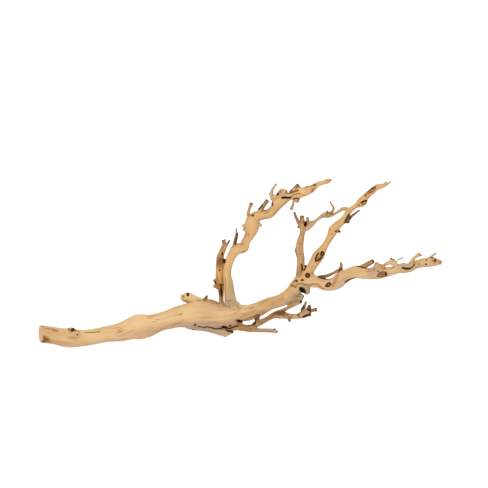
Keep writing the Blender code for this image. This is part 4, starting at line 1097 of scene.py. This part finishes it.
# %% Marks drawn at random on the far sides
FAR_MARKS = 150
FAR_FACING = 0.15
FAR_LEAST_RADIUS = 2.4 * MM
FAR_FULL_SIZE = 9 * MM
FAR_KINDS = {"crack": 5, "pit": 3, "knot": 2}
CRACK_LENGTHS = (9, 34)
CRACK_WIDTHS = (0.9, 1.6)
PIT_LENGTHS = (1.6, 3.6)
PIT_NARROWING = 0.7
KNOT_WIDTHS = (3.6, 7.5)
far_draw = random.Random("far side")
turned_away = skin_normals @ FORWARD > FAR_FACING
far_points = list(np.flatnonzero(turned_away & (skin_radii > FAR_LEAST_RADIUS)))
far_marks = []
for _ in range(FAR_MARKS):
    at = int(far_draw.choice(far_points))
    kind = far_draw.choices(list(FAR_KINDS), list(FAR_KINDS.values()))[0]
    size = min(1.0, skin_radii[at] / FAR_FULL_SIZE)
    crack_length = far_draw.uniform(*CRACK_LENGTHS) * size
    pit_length = far_draw.uniform(*PIT_LENGTHS)
    crack_width = far_draw.uniform(*CRACK_WIDTHS)
    knot_width = far_draw.uniform(*KNOT_WIDTHS) * size
    shapes = {
        "crack": (crack_length, crack_width),
        "pit": (pit_length, pit_length * PIT_NARROWING),
        "knot": (knot_width, knot_width),
    }
    far_marks.append((kind, int(skin_limbs[0, at]), skin_places[0][at], *shapes[kind]))
print("marks on the far sides:", len(far_marks))

# %% Where the far marks lie
CRACK_WANDER = 0.7
CRACK_BENDS = 0.33
LOOK_WIDER = 1.6
LOOK_PAST = 1
LEAST_OUTWARD = 0.1


def far_mark_shares(places, limb_numbers):
    """For every far mark its kind, the points near it and their distance, 1 on its outline."""
    order = np.argsort(limb_numbers, kind="stable")
    starts = np.searchsorted(limb_numbers[order], np.arange(len(limbs) + 1))
    for kind, number, middle, length, width in far_marks:
        mine = order[starts[number] : starts[number + 1]]
        away = places[mine] - middle
        close = (np.abs(away[:, 1:]) < width * LOOK_WIDER + LOOK_PAST).all(axis=1)
        close &= np.abs(away[:, 0]) < length
        mine = mine[close]
        away = away[close]
        sideways = np.hypot(away[:, 1], away[:, 2])
        if kind == "crack":
            outward = middle[1:] / max(np.hypot(*middle[1:]), LEAST_OUTWARD)
            wander = CRACK_WANDER * np.sin(away[:, 0] * CRACK_BENDS + middle[0])
            sideways = away[:, 2] * outward[0] - away[:, 1] * outward[1] - wander
        yield kind, mine, np.hypot(away[:, 0] / (length / 2), sideways / (width / 2))


far_counts = [len(mine) for _, mine, _ in far_mark_shares(skin_places[0], skin_limbs[0])]
print("points near a far mark:", min(far_counts), "to", max(far_counts))

# %% The listed marks, pressed in
PIT_EDGE = 0.55
SOFT_EDGE = 1.0
PIT_THICKNESS = 9
LINE_THICKNESS = 5
RING_THICKNESS = 7
RING_GROWN = 1.5
RING_GROOVE = 0.85
RING_LIP = 1.5
RING_FILL = 3
SMALL_PATCH = 60


def ring_profile(away, groove, rim, lip, lip_width):
    """How deep a ringed knot is against the distance from its middle: a groove with a lip round it."""
    dip = groove * np.exp(-(((away - RING_GROOVE) / rim) ** 2))
    return dip - lip * np.exp(-(((away - RING_LIP) / lip_width) ** 2))


push = np.zeros(len(skin_points))
touched = np.zeros(len(skin_points), bool)
for *oval, depth, _ in PITS:
    chosen, shares = drawn_skin.oval(oval, PIT_EDGE, PIT_THICKNESS)
    push[chosen] = np.maximum(push[chosen], shares * depth)
    touched[chosen] = True
for width, depth, _, *stops in sum(LINES.values(), []):
    for chosen, shares in drawn_skin.line(stops, width, LINE_THICKNESS):
        push[chosen] = np.maximum(push[chosen], shares * depth)
        touched[chosen] = True
for *oval, rim, depth, _ in RINGS:
    chosen, shares = drawn_skin.oval(oval, SOFT_EDGE, RING_THICKNESS, grown=RING_GROWN)
    away = drawn_skin.from_middle(chosen, oval)
    profile = ring_profile(away, groove=1.0, rim=rim, lip=0.35, lip_width=0.3)
    push[chosen] += profile * depth * np.minimum(1, shares * RING_FILL)
    touched[chosen] = True
for _, *oval in sum(PATCHES.values(), []):
    if oval[2] * oval[3] < SMALL_PATCH:
        chosen, _ = drawn_skin.oval(oval, PIT_EDGE, PIT_THICKNESS)
        touched[chosen] = True
print("deepest hand-set mark, mm:", round(float(push.max()), 2))

# %% The far marks, and a last smoothing
PIT_DENT = 1.3
CRACK_DENT = 0.9
FAR_EDGE = 1.4
LAST_PULL = 0.25
dent = np.zeros(len(skin_points))
for kind, mine, away in far_mark_shares(skin_places[0], skin_limbs[0]):
    if kind == "knot":
        depth = ring_profile(away, groove=0.8, rim=0.4, lip=0.5, lip_width=0.35)
    else:
        depth = (PIT_DENT if kind == "pit" else CRACK_DENT) * fade(away, 0.4, 1.1)
    dent[mine] = np.where(np.abs(depth) > np.abs(dent[mine]), depth, dent[mine])
    touched[mine[away < FAR_EDGE]] = True
skin_points = skin_points + push[:, None] * MM * FORWARD - skin_normals * dent[:, None] * MM
skin_points = pulled(skin_points, skin_edges, LAST_PULL)
skin_points[:, 2] = np.maximum(skin_points[:, 2], 0.0)
move_points(skin, skin_points)
skin.attributes.new("touched", "FLOAT", "POINT").data.foreach_set("value", touched.astype(np.float32))
print("points under marks:", int(touched.sum()), "of", len(touched))

# %% [markdown]
# ## The sawn butt
#
# Somebody sawed this branch off its vine, so the trunk ends in one flat face. A bisect cuts the skin along
# the saw's plane and drops what lies beyond it, and triangles close the cut.

# %% Sawing the trunk
SAW_AT = place(-41.0, 18.8, -9.0)[0]
SAW_FACING = np.array((-0.92, -0.36, 0.15))
SAW_FACING /= np.linalg.norm(SAW_FACING)
SAW_REACH = 60 * MM


def sawn(mesh):
    """Cuts the trunk off square to the saw's facing and closes the cut."""
    body = bmesh.new()
    body.from_mesh(mesh)
    near = [vert for vert in body.verts if (vert.co - Vector(SAW_AT)).length < SAW_REACH]
    faces = {face for vert in near for face in vert.link_faces}
    edges = {edge for face in faces for edge in face.edges}
    geometry = near + list(edges) + list(faces)
    cut = bmesh.ops.bisect_plane(
        body, geom=geometry, plane_co=Vector(SAW_AT), plane_no=Vector(SAW_FACING), clear_outer=True
    )
    rim = [item for item in cut["geom_cut"] if isinstance(item, bmesh.types.BMEdge)]
    bmesh.ops.triangle_fill(body, edges=rim, use_beauty=True, normal=Vector(SAW_FACING))
    bmesh.ops.recalc_face_normals(body, faces=body.faces)
    open_edges = sum(1 for edge in body.edges if not edge.is_manifold)
    body.to_mesh(mesh)
    body.free()
    return open_edges


print("open edges after sawing:", sawn(skin))

# %% [markdown]
# ## Fewer faces where the wood is smooth
#
# The fine skin has far more faces than a reusable part needs. Collapsing short edges takes them away,
# first where the wood is smooth. The points under cracks and knots are guarded, so the marks stay crisp.

# %% Thinning the mesh
FACE_LIMIT = 196000


def triangles_of(mesh):
    """How many triangles a mesh has, with each larger face cut up."""
    return sum(len(face.vertices) - 2 for face in mesh.polygons)


before = triangles_of(skin)
guarded = np.flatnonzero(rows_of(skin.attributes["touched"].data, "value", 1) > 0.5)
branch_mesh = applied(skin, "DECIMATE", {"ratio": min(1.0, FACE_LIMIT / before)}, guarded)
branch_mesh.attributes.remove(branch_mesh.attributes["touched"])
branch_mesh.name = "branch_wood"
branch_mesh.validate()
print("triangles:", before, "before,", triangles_of(branch_mesh), "after")

# %% [markdown]
# ## What each point remembers
#
# The finish has to know more than a position. Each point is given a few numbers: how dark a crack makes
# it, how brown or grey it has weathered, with some painted shade among these tints, and how deep it lies
# in a hollow and how far it faces down, from which the finish paints shade. Each corner of a face is given
# its two places on the limbs, because the corners of one face must agree on which limbs they belong to.

# %% Places on the final mesh
branch_mesh.update()
points = rows_of(branch_mesh.vertices, "co", 3)
normals = rows_of(branch_mesh.vertices, "normal", 3)
edges = rows_of(branch_mesh.edges, "vertices", 2, np.int32)
corner_points = rows_of(branch_mesh.loops, "vertex_index", 1, np.int32)
corner_starts = rows_of(branch_mesh.polygons, "loop_start", 1, np.int32)
corner_counts = rows_of(branch_mesh.polygons, "loop_total", 1, np.int32)
corner_faces = np.repeat(np.arange(len(corner_starts)), corner_counts)
first_points = corner_points[corner_starts[corner_faces]]
numbers, offs = nearest_two(points)
places, _ = places_for(points, numbers[0])


def corner_places(which):
    """Each corner's place on its face's first or second limb, and how far it stands off it."""
    limb_numbers = numbers[which][first_points]
    keys = limb_numbers.astype(np.int64) * len(points) + corner_points
    unique, back = np.unique(keys, return_inverse=True)
    found, off = places_for(points[unique % len(points)], (unique // len(points)).astype(np.int32))
    return found[back], off[back]


here, off_here = corner_places(0)
there, off_there = corner_places(1)
turn_over = meeting_share(off_here, off_there)
print("corners:", len(corner_points), "near a second limb:", int((turn_over > 0.01).sum()))

# %% Each limb's tint
# The limbs that aren't plain honey wood, by their tint and with its strength. The browner tints of thin
# twigs and spikes are partly their own colour and partly painted shade.
TINTED_LIMBS = {
    "dark": dict(hair_splinter=0.55),
    "brown": dict(
        left_limb_spike=0.6, left_limb_stub=0.48, left_limb_thorn=0.6, middle_limb_twig=0.85,
        middle_limb_spur=0.9, middle_limb_burr=0.55, hidden_vine_nub=0.9, upright_snag=0.6,
        upright_spike=0.88, broken_splinter_left=0.75, broken_splinter_middle=0.75,
        broken_splinter_right=0.75, broken_knob=0.9, low_twig_thorn=0.8, tangle_spike=0.62, tangle_peak=0.5,
        tangle_spur=0.68, tangle_tip=0.8, tangle_root=0.9, link_to_trunk=0.78, back_stub_spike=0.85,
        flake=0.5, curled_lump=0.45, fork_back=0.8, twig_knee=0.7, middle_tip_burr=0.6,
    ),
    "ochre": dict(hidden_vine=0.95),
    "tan": dict(
        left_limb=0.58, fork=0.3, left_limb_snag=0.9, arm_bump=0.5, hooked_twig=0.95, hidden_stub=0.95,
        hidden_vine_root=0.4, upright_stub=0.75, upright_knob=0.45, knob_root=0.3, left_burr=0.6,
        left_burr_low=0.6, broken_flake=0.6, broken_thorn_low=0.7, broken_thorn_high=0.7, lower_branch=0.85,
        backward_twig=0.42, thin_twig=0.62, thin_twig_web=0.6, lower_web=0.6, back_ridge=0.45,
        flake_web=0.45, hanging_twig=0.8, right_limb_hump=0.18, hump_shoulder=0.25, forked_twig=0.45,
        forked_twig_prong=0.5,
    ),
    "orange": dict(middle_limb=0.48, upright_limb=0.42, broken_limb=0.6, back_stub=0.08),
    "grey": dict(reaching_arm=0.46, snag_root=0.5, upright_spike_tip=0.9, fork_lump=0.8, end_twig=0.7),
    "pink": dict(
        curved_twig=0.75, low_twig=1, lower_splinter=1, splinter_foot=0.9, splinter_heel=0.9,
        right_limb=0.3, right_limb_arch=0.5,
    ),
}
print("tinted limbs:", sum(len(strengths) for strengths in TINTED_LIMBS.values()), "of", len(limbs))

# %% Tinting the limbs and browning their ends
TINTS = ("dark", "brown", "ochre", "tan", "orange", "grey", "pink", "pale")
END_STRENGTHS = (0.25, 0.85)
END_BROWN = 0.2
END_PLAIN = 2.6
limb_tints = {}
for tint, strengths in TINTED_LIMBS.items():
    for name, strength in strengths.items():
        limb_tints[name] = (tint, strength)
tints = {name: np.zeros(len(points)) for name in TINTS}
turn_points = meeting_share(offs[0], offs[1])
for number, limb in enumerate(limbs):
    tint, strength = limb_tints.get(limb["name"], ("pale", 0.0))
    nearest = (numbers[0] == number) * (1 - turn_points)
    second = (numbers[1] == number) * turn_points
    tints[tint] += strength * (nearest + second)
    mine = np.flatnonzero(numbers[0] == number)
    along = places[mine, 0] - number * LIMB_SPACING
    to_end = limb["along"][-1] / MM - along
    if limb["name"] != "trunk":
        to_end = np.minimum(to_end, along)
    # A free end browns like broken wood; at a limb's root the same browning darkens the joint as painted
    # shade.
    browned = random.Random("end " + limb["name"]).uniform(*END_STRENGTHS)
    at_end = fade(to_end, END_BROWN, END_PLAIN)
    tints["brown"][mine] += browned * at_end * (1 - turn_points[mine])
print("points of brown limbs and ends:", int((tints["brown"] > 0.4).sum()))

# %% Painting the pits and lines
DEEP_THICKNESS = 6
THICKNESS_BY_DEPTH = 2.2
DARK_GROWN = 1.08
DARK_EDGE = 0.5
STAIN_GROWN = 1.7
STAIN_EDGE = 0.9
STAIN_SHARE = 0.5
LINE_GROWN = 1.1
LINE_STAIN_GROWN = 1.9
LINE_STAIN_SHARE = 0.45
drawn = Drawn(points, normals)


def add_tint(tint, chosen, amounts):
    """Raises a tint where a mark gives more of it."""
    tints[tint][chosen] = np.maximum(tints[tint][chosen], amounts)


for *oval, depth, strength in PITS:
    thickness = DEEP_THICKNESS + THICKNESS_BY_DEPTH * depth
    chosen, shares = drawn.oval(oval, DARK_EDGE, thickness, grown=DARK_GROWN)
    add_tint("dark", chosen, shares * strength)
    chosen, shares = drawn.oval(oval, STAIN_EDGE, thickness, grown=STAIN_GROWN)
    add_tint("brown", chosen, shares * strength * STAIN_SHARE)
for tint, rows in LINES.items():
    for width, depth, strength, *stops in rows:
        for chosen, shares in drawn.line(stops, width * LINE_GROWN, LINE_THICKNESS + depth):
            add_tint(tint, chosen, shares * strength)
for width, depth, strength, *stops in LINES["dark"]:
    for chosen, shares in drawn.line(stops, width * LINE_STAIN_GROWN, LINE_THICKNESS + depth):
        add_tint("brown", chosen, shares * strength * LINE_STAIN_SHARE)
print("dark points:", int((tints["dark"] > 0.5).sum()), "brown:", int((tints["brown"] > 0.4).sum()))

# %% Painting the rings, the patches and the far marks
RING_DARK_THICKNESS = 9
PATCH_GROWN = 1.15
PATCH_THICKNESS = 30


def dark_ring(away, middle, width):
    """1 on a ring at this distance from a knot's middle, with fairly sharp sides."""
    return np.exp(-(((away - middle) / width) ** 4))


for *oval, rim, _, browned in RINGS:
    chosen, _ = drawn.oval(oval, SOFT_EDGE, RING_DARK_THICKNESS, grown=RING_GROWN)
    away = drawn.from_middle(chosen, oval)
    add_tint("dark", chosen, 0.95 * dark_ring(away, 0.82, rim * 0.80))
    add_tint("brown", chosen, browned * fade(away, 0.9, 1.4))
for tint, rows in PATCHES.items():
    for strength, *oval in rows:
        chosen, shares = drawn.oval(oval, SOFT_EDGE, PATCH_THICKNESS, grown=PATCH_GROWN)
        tints[tint][chosen] = np.clip(tints[tint][chosen] + shares * strength, 0, 1)
for kind, mine, away in far_mark_shares(places, numbers[0]):
    if kind == "knot":
        add_tint("dark", mine, 0.6 * dark_ring(away, 0.8, 0.25))
        add_tint("brown", mine, 0.75 * fade(away, 0.9, 1.5))
    else:
        add_tint("dark", mine, 0.72 * fade(away, 0.6, 1.2))
        add_tint("brown", mine, 0.4 * fade(away, 1.0, 1.8))
print("dark points:", int((tints["dark"] > 0.5).sum()), "brown:", int((tints["brown"] > 0.4).sum()))

# %% Hollows, ridges and undersides
HOLLOW_ROUNDS = 14
HOLLOW_PULL = 0.6
HOLLOW_BLURS = 2
FULL_HOLLOW = 0.35 * MM
FULL_FINE_HOLLOW = 0.06 * MM
FINE_SHARE = 0.3
# How deep each point lies in a hollow, negative on a ridge. The finish darkens the hollows with painted
# shade and lightens the ridges, partly as sandblast wear and partly as a painted highlight.
smoothed = points
for _ in range(HOLLOW_ROUNDS):
    smoothed = pulled(smoothed, edges, HOLLOW_PULL)
wide_hollow = ((smoothed - points) * normals).sum(axis=1) / FULL_HOLLOW
close_in = neighbours_mean(points, edges) - points
fine_hollow = (close_in * normals).sum(axis=1) / FULL_FINE_HOLLOW
hollow_shade_and_ridge_light = np.clip((1 - FINE_SHARE) * wide_hollow + FINE_SHARE * fine_hollow, -1, 1)[:, None]
for _ in range(HOLLOW_BLURS):
    hollow_shade_and_ridge_light = 0.5 * hollow_shade_and_ridge_light + 0.5 * neighbours_mean(hollow_shade_and_ridge_light, edges)
hollow_shade_and_ridge_light = hollow_shade_and_ridge_light[:, 0]
# How far each point faces down. The finish turns such skin pinker and darker, partly the wood's own tint
# and partly painted shade.
underside_tint_and_shade = smooth_step(-normals[:, 2], -0.2, 0.9)
print("hollow points:", int((hollow_shade_and_ridge_light > 0.4).sum()), "ridges:", int((hollow_shade_and_ridge_light < -0.4).sum()))

# %% Writing it all into the mesh
SAWN_FACING = 0.98
SAWN_NEAR = 0.15 * MM


def keep(name, values, domain="POINT"):
    """Writes numbers or rows into the mesh under this name."""
    kind, field = ("FLOAT", "value") if values.ndim == 1 else ("FLOAT_VECTOR", "vector")
    layer = branch_mesh.attributes.new(name, kind, domain)
    layer.data.foreach_set(field, values.astype(np.float32).ravel())


keep("grain_here", here, "CORNER")
keep("grain_there", there, "CORNER")
keep("turn_over", turn_over, "CORNER")
for name, values in tints.items():
    keep(name, np.clip(values, 0, 1))
keep("hollow", hollow_shade_and_ridge_light)
keep("under", underside_tint_and_shade)
keep("furrow", furrows_at(places))
off_the_cut = (rows_of(branch_mesh.polygons, "center", 3) - SAW_AT) @ SAW_FACING
faces_as_cut = rows_of(branch_mesh.polygons, "normal", 3) @ SAW_FACING > SAWN_FACING
on_saw = faces_as_cut & (np.abs(off_the_cut) < SAWN_NEAR)
keep("sawn", on_saw[corner_faces].astype(float), "CORNER")
print("sawn faces:", int(on_saw.sum()), "attributes:", len(branch_mesh.attributes))

# %% [markdown]
# ## A small language for finishes
#
# Wiring nodes by hand hides the idea behind a finish. Here a socket is wrapped in a small class that knows
# plus, minus and times, so a mask reads like a sum. Colours are mixed by their own node, because a Math
# node would turn them grey.

# %% Sockets that can be added up
class Term:
    """An output socket of a finish. A sum on it adds a Math node."""

    def __init__(self, finish, socket):
        self.finish = finish
        self.socket = socket

    def sum_with(self, operation, first, second):
        return self.finish.node("ShaderNodeMath", {"operation": operation}, {0: first, 1: second})

    def __add__(self, other):
        return self.sum_with("ADD", self, other)

    def __radd__(self, other):
        return self.sum_with("ADD", other, self)

    def __sub__(self, other):
        return self.sum_with("SUBTRACT", self, other)

    def __rsub__(self, other):
        return self.sum_with("SUBTRACT", other, self)

    def __mul__(self, other):
        return self.sum_with("MULTIPLY", self, other)

    def __rmul__(self, other):
        return self.sum_with("MULTIPLY", other, self)

    def between(self, low, high):
        """0 below low, 1 above high, and a smooth change between."""
        inputs = {"Value": self, "From Min": low, "From Max": high}
        return self.finish.node("ShaderNodeMapRange", {"interpolation_type": "SMOOTHSTEP"}, inputs)


print("operators of a socket:", sum(name.endswith(("add__", "sub__", "mul__")) for name in vars(Term)))


# %% A finish with its nodes
class Finish:
    """A material that is being built, with its Principled shader."""

    def __init__(self, name):
        self.material = bpy.data.materials.new(name)
        self.material.use_nodes = True
        self.tree = self.material.node_tree
        self.shader = self.tree.nodes["Principled BSDF"]

    def node(self, kind, settings=None, inputs=None, output=0):
        """Adds a node, sets its settings and then its sockets, and gives back one of its outputs."""
        made = self.tree.nodes.new(kind)
        for name, value in (settings or {}).items():
            if name == "stops":
                self.set_stops(made.color_ramp, value)
            else:
                setattr(made, name, value)
        self.feed(made, inputs or {})
        return Term(self, made.outputs[output])

    def set_stops(self, ramp, stops):
        """Puts a ramp's stops where they belong: (place, colour) from left to right."""
        while len(ramp.elements) < len(stops):
            ramp.elements.new(1.0)
        for element, (spot, colour) in zip(ramp.elements, stops):
            element.position = spot
            element.color = (*colour, 1.0)

    def feed(self, made, inputs):
        """Links terms into a node's sockets, or sets plain values on them."""
        for name, value in inputs.items():
            if isinstance(value, Term):
                self.tree.links.new(value.socket, made.inputs[name])
            else:
                made.inputs[name].default_value = value

    def remembered(self, name, output="Fac"):
        """What the mesh remembers under this name."""
        return self.node("ShaderNodeAttribute", {"attribute_name": name}, output=output)

    def mixed(self, share, first, second, blend="MIX"):
        """The first colour, turning into the second as the share goes from 0 to 1."""
        colours = [(*value, 1.0) if isinstance(value, tuple) else value for value in (first, second)]
        settings = {"data_type": "RGBA", "blend_type": blend}
        return self.node("ShaderNodeMix", settings, {0: share, 6: colours[0], 7: colours[1]}, output=2)


wood = Finish("bare_wood")
print("started:", wood.material.name, "with", len(wood.tree.nodes), "nodes")

# %% [markdown]
# ## Bare, sandblasted wood
#
# The real wood is pale honey, with long faint streaks along the grain. Where it faces down it turns pinker
# and darker, partly its own tint and partly painted shade. It is dull and dry, with fine fibres that catch
# the light. A wood texture made of rings in space would run straight through every bend. So the streaks are
# noise read at the grain's own places, stretched ten to twenty times along the limb, once for the limb here
# and once for the one that it meets, and the two are mixed. Blotches and specks know no grain and are read
# in space.

# %% The wood's colours
HONEY = (0.580, 0.373, 0.181)
PALE = (0.670, 0.472, 0.250)
DEEP = (0.475, 0.276, 0.112)
PINK = (0.440, 0.280, 0.182)
GREY = (0.300, 0.242, 0.166)
ORANGE = (0.495, 0.262, 0.078)
TAN = (0.350, 0.180, 0.070)
OCHRE = (0.310, 0.145, 0.036)
BROWN = (0.135, 0.060, 0.021)
DARK = (0.038, 0.012, 0.002)
BLACK = (0.006, 0.002, 0.001)
END_GRAIN = (0.570, 0.335, 0.190)
print("the palest wood is", round(sum(PALE) / sum(DARK)), "times as bright as a crack")

# %% Grain patterns
grain_here = wood.remembered("grain_here", "Vector")
grain_there = wood.remembered("grain_there", "Vector")
turn = wood.remembered("turn_over")
on_branch = wood.node("ShaderNodeTexCoord", output="Object")


def noise(at, scale, detail, roughness):
    """Plain noise, from 0 to 1, at this place."""
    inputs = {"Vector": at, "Scale": scale, "Detail": detail, "Roughness": roughness}
    return wood.node("ShaderNodeTexNoise", {}, inputs, output="Fac")


def streaks(across, length, detail=3.0, roughness=0.55):
    """Noise along the grain of the limb here, turning into that of the limb it meets. Sizes are in mm."""
    stretch = (1 / length, 1 / across, 1 / across)
    near_and_far = []
    for at in (grain_here, grain_there):
        scaled = wood.node("ShaderNodeVectorMath", {"operation": "MULTIPLY"}, {0: at, 1: stretch})
        near_and_far.append(noise(scaled, 1.0, detail, roughness))
    near, far = near_and_far
    return near * (1 - turn) + far * turn


broad = streaks(9.0, 150.0)
bands = streaks(2.6, 60.0)
fibres = streaks(0.75, 16.0, 4.0, 0.65)
flecks = streaks(0.55, 5.0, 2.0)
blotches = noise(on_branch, 46.0, 3.0, 0.6)
mottling = noise(on_branch, 120.0, 2.0, 0.5)
specks = noise(on_branch, 620.0, 2.0, 0.6)
print("grain patterns:", len(wood.tree.nodes), "nodes")

# %% Colour from the grain
HONEY_STOPS = [(0.28, DEEP), (0.45, HONEY), (0.57, HONEY), (0.74, PALE)]
FIBRE_STOPS = [(0.25, (0.78, 0.78, 0.78)), (0.75, (1.12, 1.12, 1.12))]
tone = broad * 0.62 + bands * 0.38
colour = wood.node("ShaderNodeValToRGB", {"stops": HONEY_STOPS}, {"Fac": tone})
# Downward-facing skin turns pink and darker: partly the wood's own pinker underside, partly painted shade.
# Pink blotches add to it.
under = wood.remembered("under")
colour = wood.mixed(under * 0.75 + blotches.between(0.45, 0.70) * 0.16, colour, PINK)
fine_shade = wood.node("ShaderNodeValToRGB", {"stops": FIBRE_STOPS}, {"Fac": fibres})
colour = wood.mixed(0.75, colour, fine_shade, "MULTIPLY")
colour = wood.mixed(flecks.between(0.66, 0.78) * 0.30, colour, OCHRE)
colour = wood.mixed(mottling.between(0.52, 0.70) * 0.22, colour, ORANGE)
print("with colour from the grain:", len(wood.tree.nodes), "nodes")

# %% Weathering and painted shade
# Each tint's colour and its most, laid on in this order. Besides weathering, the tan and brown tints carry
# lines of painted shade, and the pale tint a painted glint.
WEATHERING_AND_PAINTED_SHADE = {
    "pale": (PALE, 0.9),
    "pink": (PINK, 0.9),
    "orange": (ORANGE, 0.85),
    "grey": (GREY, 0.9),
    "tan": (TAN, 0.95),
    "ochre": (OCHRE, 0.9),
    "brown": (BROWN, 0.95),
}
ragged = (bands - 0.5) * 0.5 + (specks - 0.5) * 0.35
hollow = wood.remembered("hollow")
# Ridges turn paler: partly sandblast wear, partly a painted highlight.
colour = wood.mixed((0 - hollow).between(0.2, 1.0) * 0.22, colour, PALE)
for name, (tint, most) in WEATHERING_AND_PAINTED_SHADE.items():
    mask = (wood.remembered(name) * (1 + ragged * 1.3)).between(0.0, 1.0)
    colour = wood.mixed(mask * most, colour, tint)
print("with weathering:", len(wood.tree.nodes), "nodes")

# %% Painted shade in hollows and furrows, and dark marks
# Hollows and crotches turn tan, then brown: painted shade.
colour = wood.mixed(hollow.between(0.10, 0.6) * 0.45, colour, TAN)
colour = wood.mixed(hollow.between(0.45, 1.0) * 0.45, colour, BROWN)
# Furrows turn tan: painted shade in the grooves.
furrow = wood.remembered("furrow")
colour = wood.mixed(furrow.between(0.20, 0.95) * 0.45, colour, TAN)
dark = wood.remembered("dark")
dark_mask = (dark * (1 + (fibres - 0.5) * 0.5)).between(0.22, 0.90)
colour = wood.mixed(dark.between(0.03, 0.55) * 0.80, colour, BROWN)
colour = wood.mixed(dark_mask * 0.97, colour, DARK)
# The darkest marks, the deep holes, turn near-black: partly their own dark wood, partly painted shade of
# their depth.
colour = wood.mixed(dark.between(0.90, 1.0) * 0.80, colour, BLACK)
print("with dark marks:", len(wood.tree.nodes), "nodes")

# %% The sawn face
ACROSS_ONLY = (0.0, 1.0, 1.0)
RINGS_PER_MM = 4.6
RING_WAVER = 9.0
section = wood.node("ShaderNodeVectorMath", {"operation": "MULTIPLY"}, {0: grain_here, 1: ACROSS_ONLY})
from_pith = wood.node("ShaderNodeVectorMath", {"operation": "LENGTH"}, {0: section}, output="Value")
ring_angle = from_pith * RINGS_PER_MM + blotches * RING_WAVER
ring_wave = wood.node("ShaderNodeMath", {"operation": "SINE"}, {0: ring_angle})
end_colour = wood.mixed(ring_wave.between(-0.2, 1.0) * 0.35, END_GRAIN, DEEP)
end_colour = wood.mixed(specks.between(0.5, 0.8) * 0.30, end_colour, BROWN)
colour = wood.mixed(wood.remembered("sawn"), colour, end_colour)
print("with the sawn face:", len(wood.tree.nodes), "nodes")

# %% Dullness and fibres
BUMP_DEPTH = 0.00032
raised = fibres * 0.55 + bands * 0.35 + specks * 0.10 - flecks.between(0.66, 0.80) * 0.25
bump_inputs = {"Height": raised, "Distance": BUMP_DEPTH, "Strength": 0.55}
wood.feed(wood.shader, {
    "Base Color": colour,
    "Roughness": 0.62 + fibres * 0.25 + dark_mask * 0.10,
    "Specular IOR Level": 0.08,
    "Normal": wood.node("ShaderNodeBump", {}, bump_inputs, output="Normal"),
})
print("wood finish:", len(wood.tree.nodes), "nodes")

# %% [markdown]
# ## The dressed branch
#
# The fine mesh becomes one object that stands for the packed solid. It rides on the one body and takes the
# bare wood finish.

# %% Placing the branch
branch = placed("branch_wood", branch_mesh)
branch_mesh.materials.clear()
branch_mesh.materials.append(wood.material)
branch_mesh.polygons.foreach_set("use_smooth", ~on_saw)
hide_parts("branch")
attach(branch, "root")
print("placed:", branch.name, "with", len(branch_mesh.polygons), "faces")

# %% [markdown]
# ## A pale table and soft light
#
# A catalogue picture is taken in a white tent: light comes from everywhere, a little more from above and
# in front, and the table is so bright that it has no edge. A wide white disc, a white sky and two large
# soft lamps do that.

# %% The table
TABLE_RADIUS = 14.0
TABLE_SIDES = 96
TABLE_TOP = -0.0004
table_mesh = bpy.data.meshes.new("table")
table_points = []
for side in range(TABLE_SIDES):
    angle = side * math.tau / TABLE_SIDES
    table_points.append((TABLE_RADIUS * math.cos(angle), TABLE_RADIUS * math.sin(angle), TABLE_TOP))
table_mesh.from_pydata(table_points, [], [tuple(range(TABLE_SIDES))])
table = placed("table", table_mesh)
white = Finish("white_table")
white.feed(white.shader, {
    "Base Color": (0.30, 0.30, 0.30, 1.0),
    "Roughness": 0.9,
    "Emission Color": (1.0, 1.0, 1.0, 1.0),
    "Emission Strength": 0.82,
})
table_mesh.materials.append(white.material)
table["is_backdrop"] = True
print("table:", 2 * TABLE_RADIUS, "m across")

# %% The light
sky = bpy.data.worlds.new("white_tent")
sky.use_nodes = True
sky.node_tree.nodes["Background"].inputs["Color"].default_value = (1.0, 1.0, 1.0, 1.0)
sky.node_tree.nodes["Background"].inputs["Strength"].default_value = 1.0
bpy.context.scene.world = sky
bpy.context.scene.view_settings.view_transform = "Standard"
LAMP_SIZE = 1.2


def soft_lamp(name, spot, power):
    """A large square lamp that shines at the branch."""
    lamp = bpy.data.lights.new(name, "AREA")
    lamp.size = LAMP_SIZE
    lamp.energy = power
    holder = placed(name, lamp)
    holder.location = spot
    holder.rotation_euler = (-Vector(spot)).to_track_quat("-Z", "Y").to_euler()


soft_lamp("lamp_in_front", (-0.8, -2.1, 1.6), 27.0)
soft_lamp("lamp_behind", (0.9, 2.1, 1.7), 20.0)

# %% [markdown]
# ## The two boxes
#
# The dressed branch has to fill the same box as the packed solid. Both boxes are printed.

# %% Sizes
dressed_box = [[float(value) for value in corner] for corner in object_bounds()]
print("the dressed box, mm:", in_mm(dressed_box))
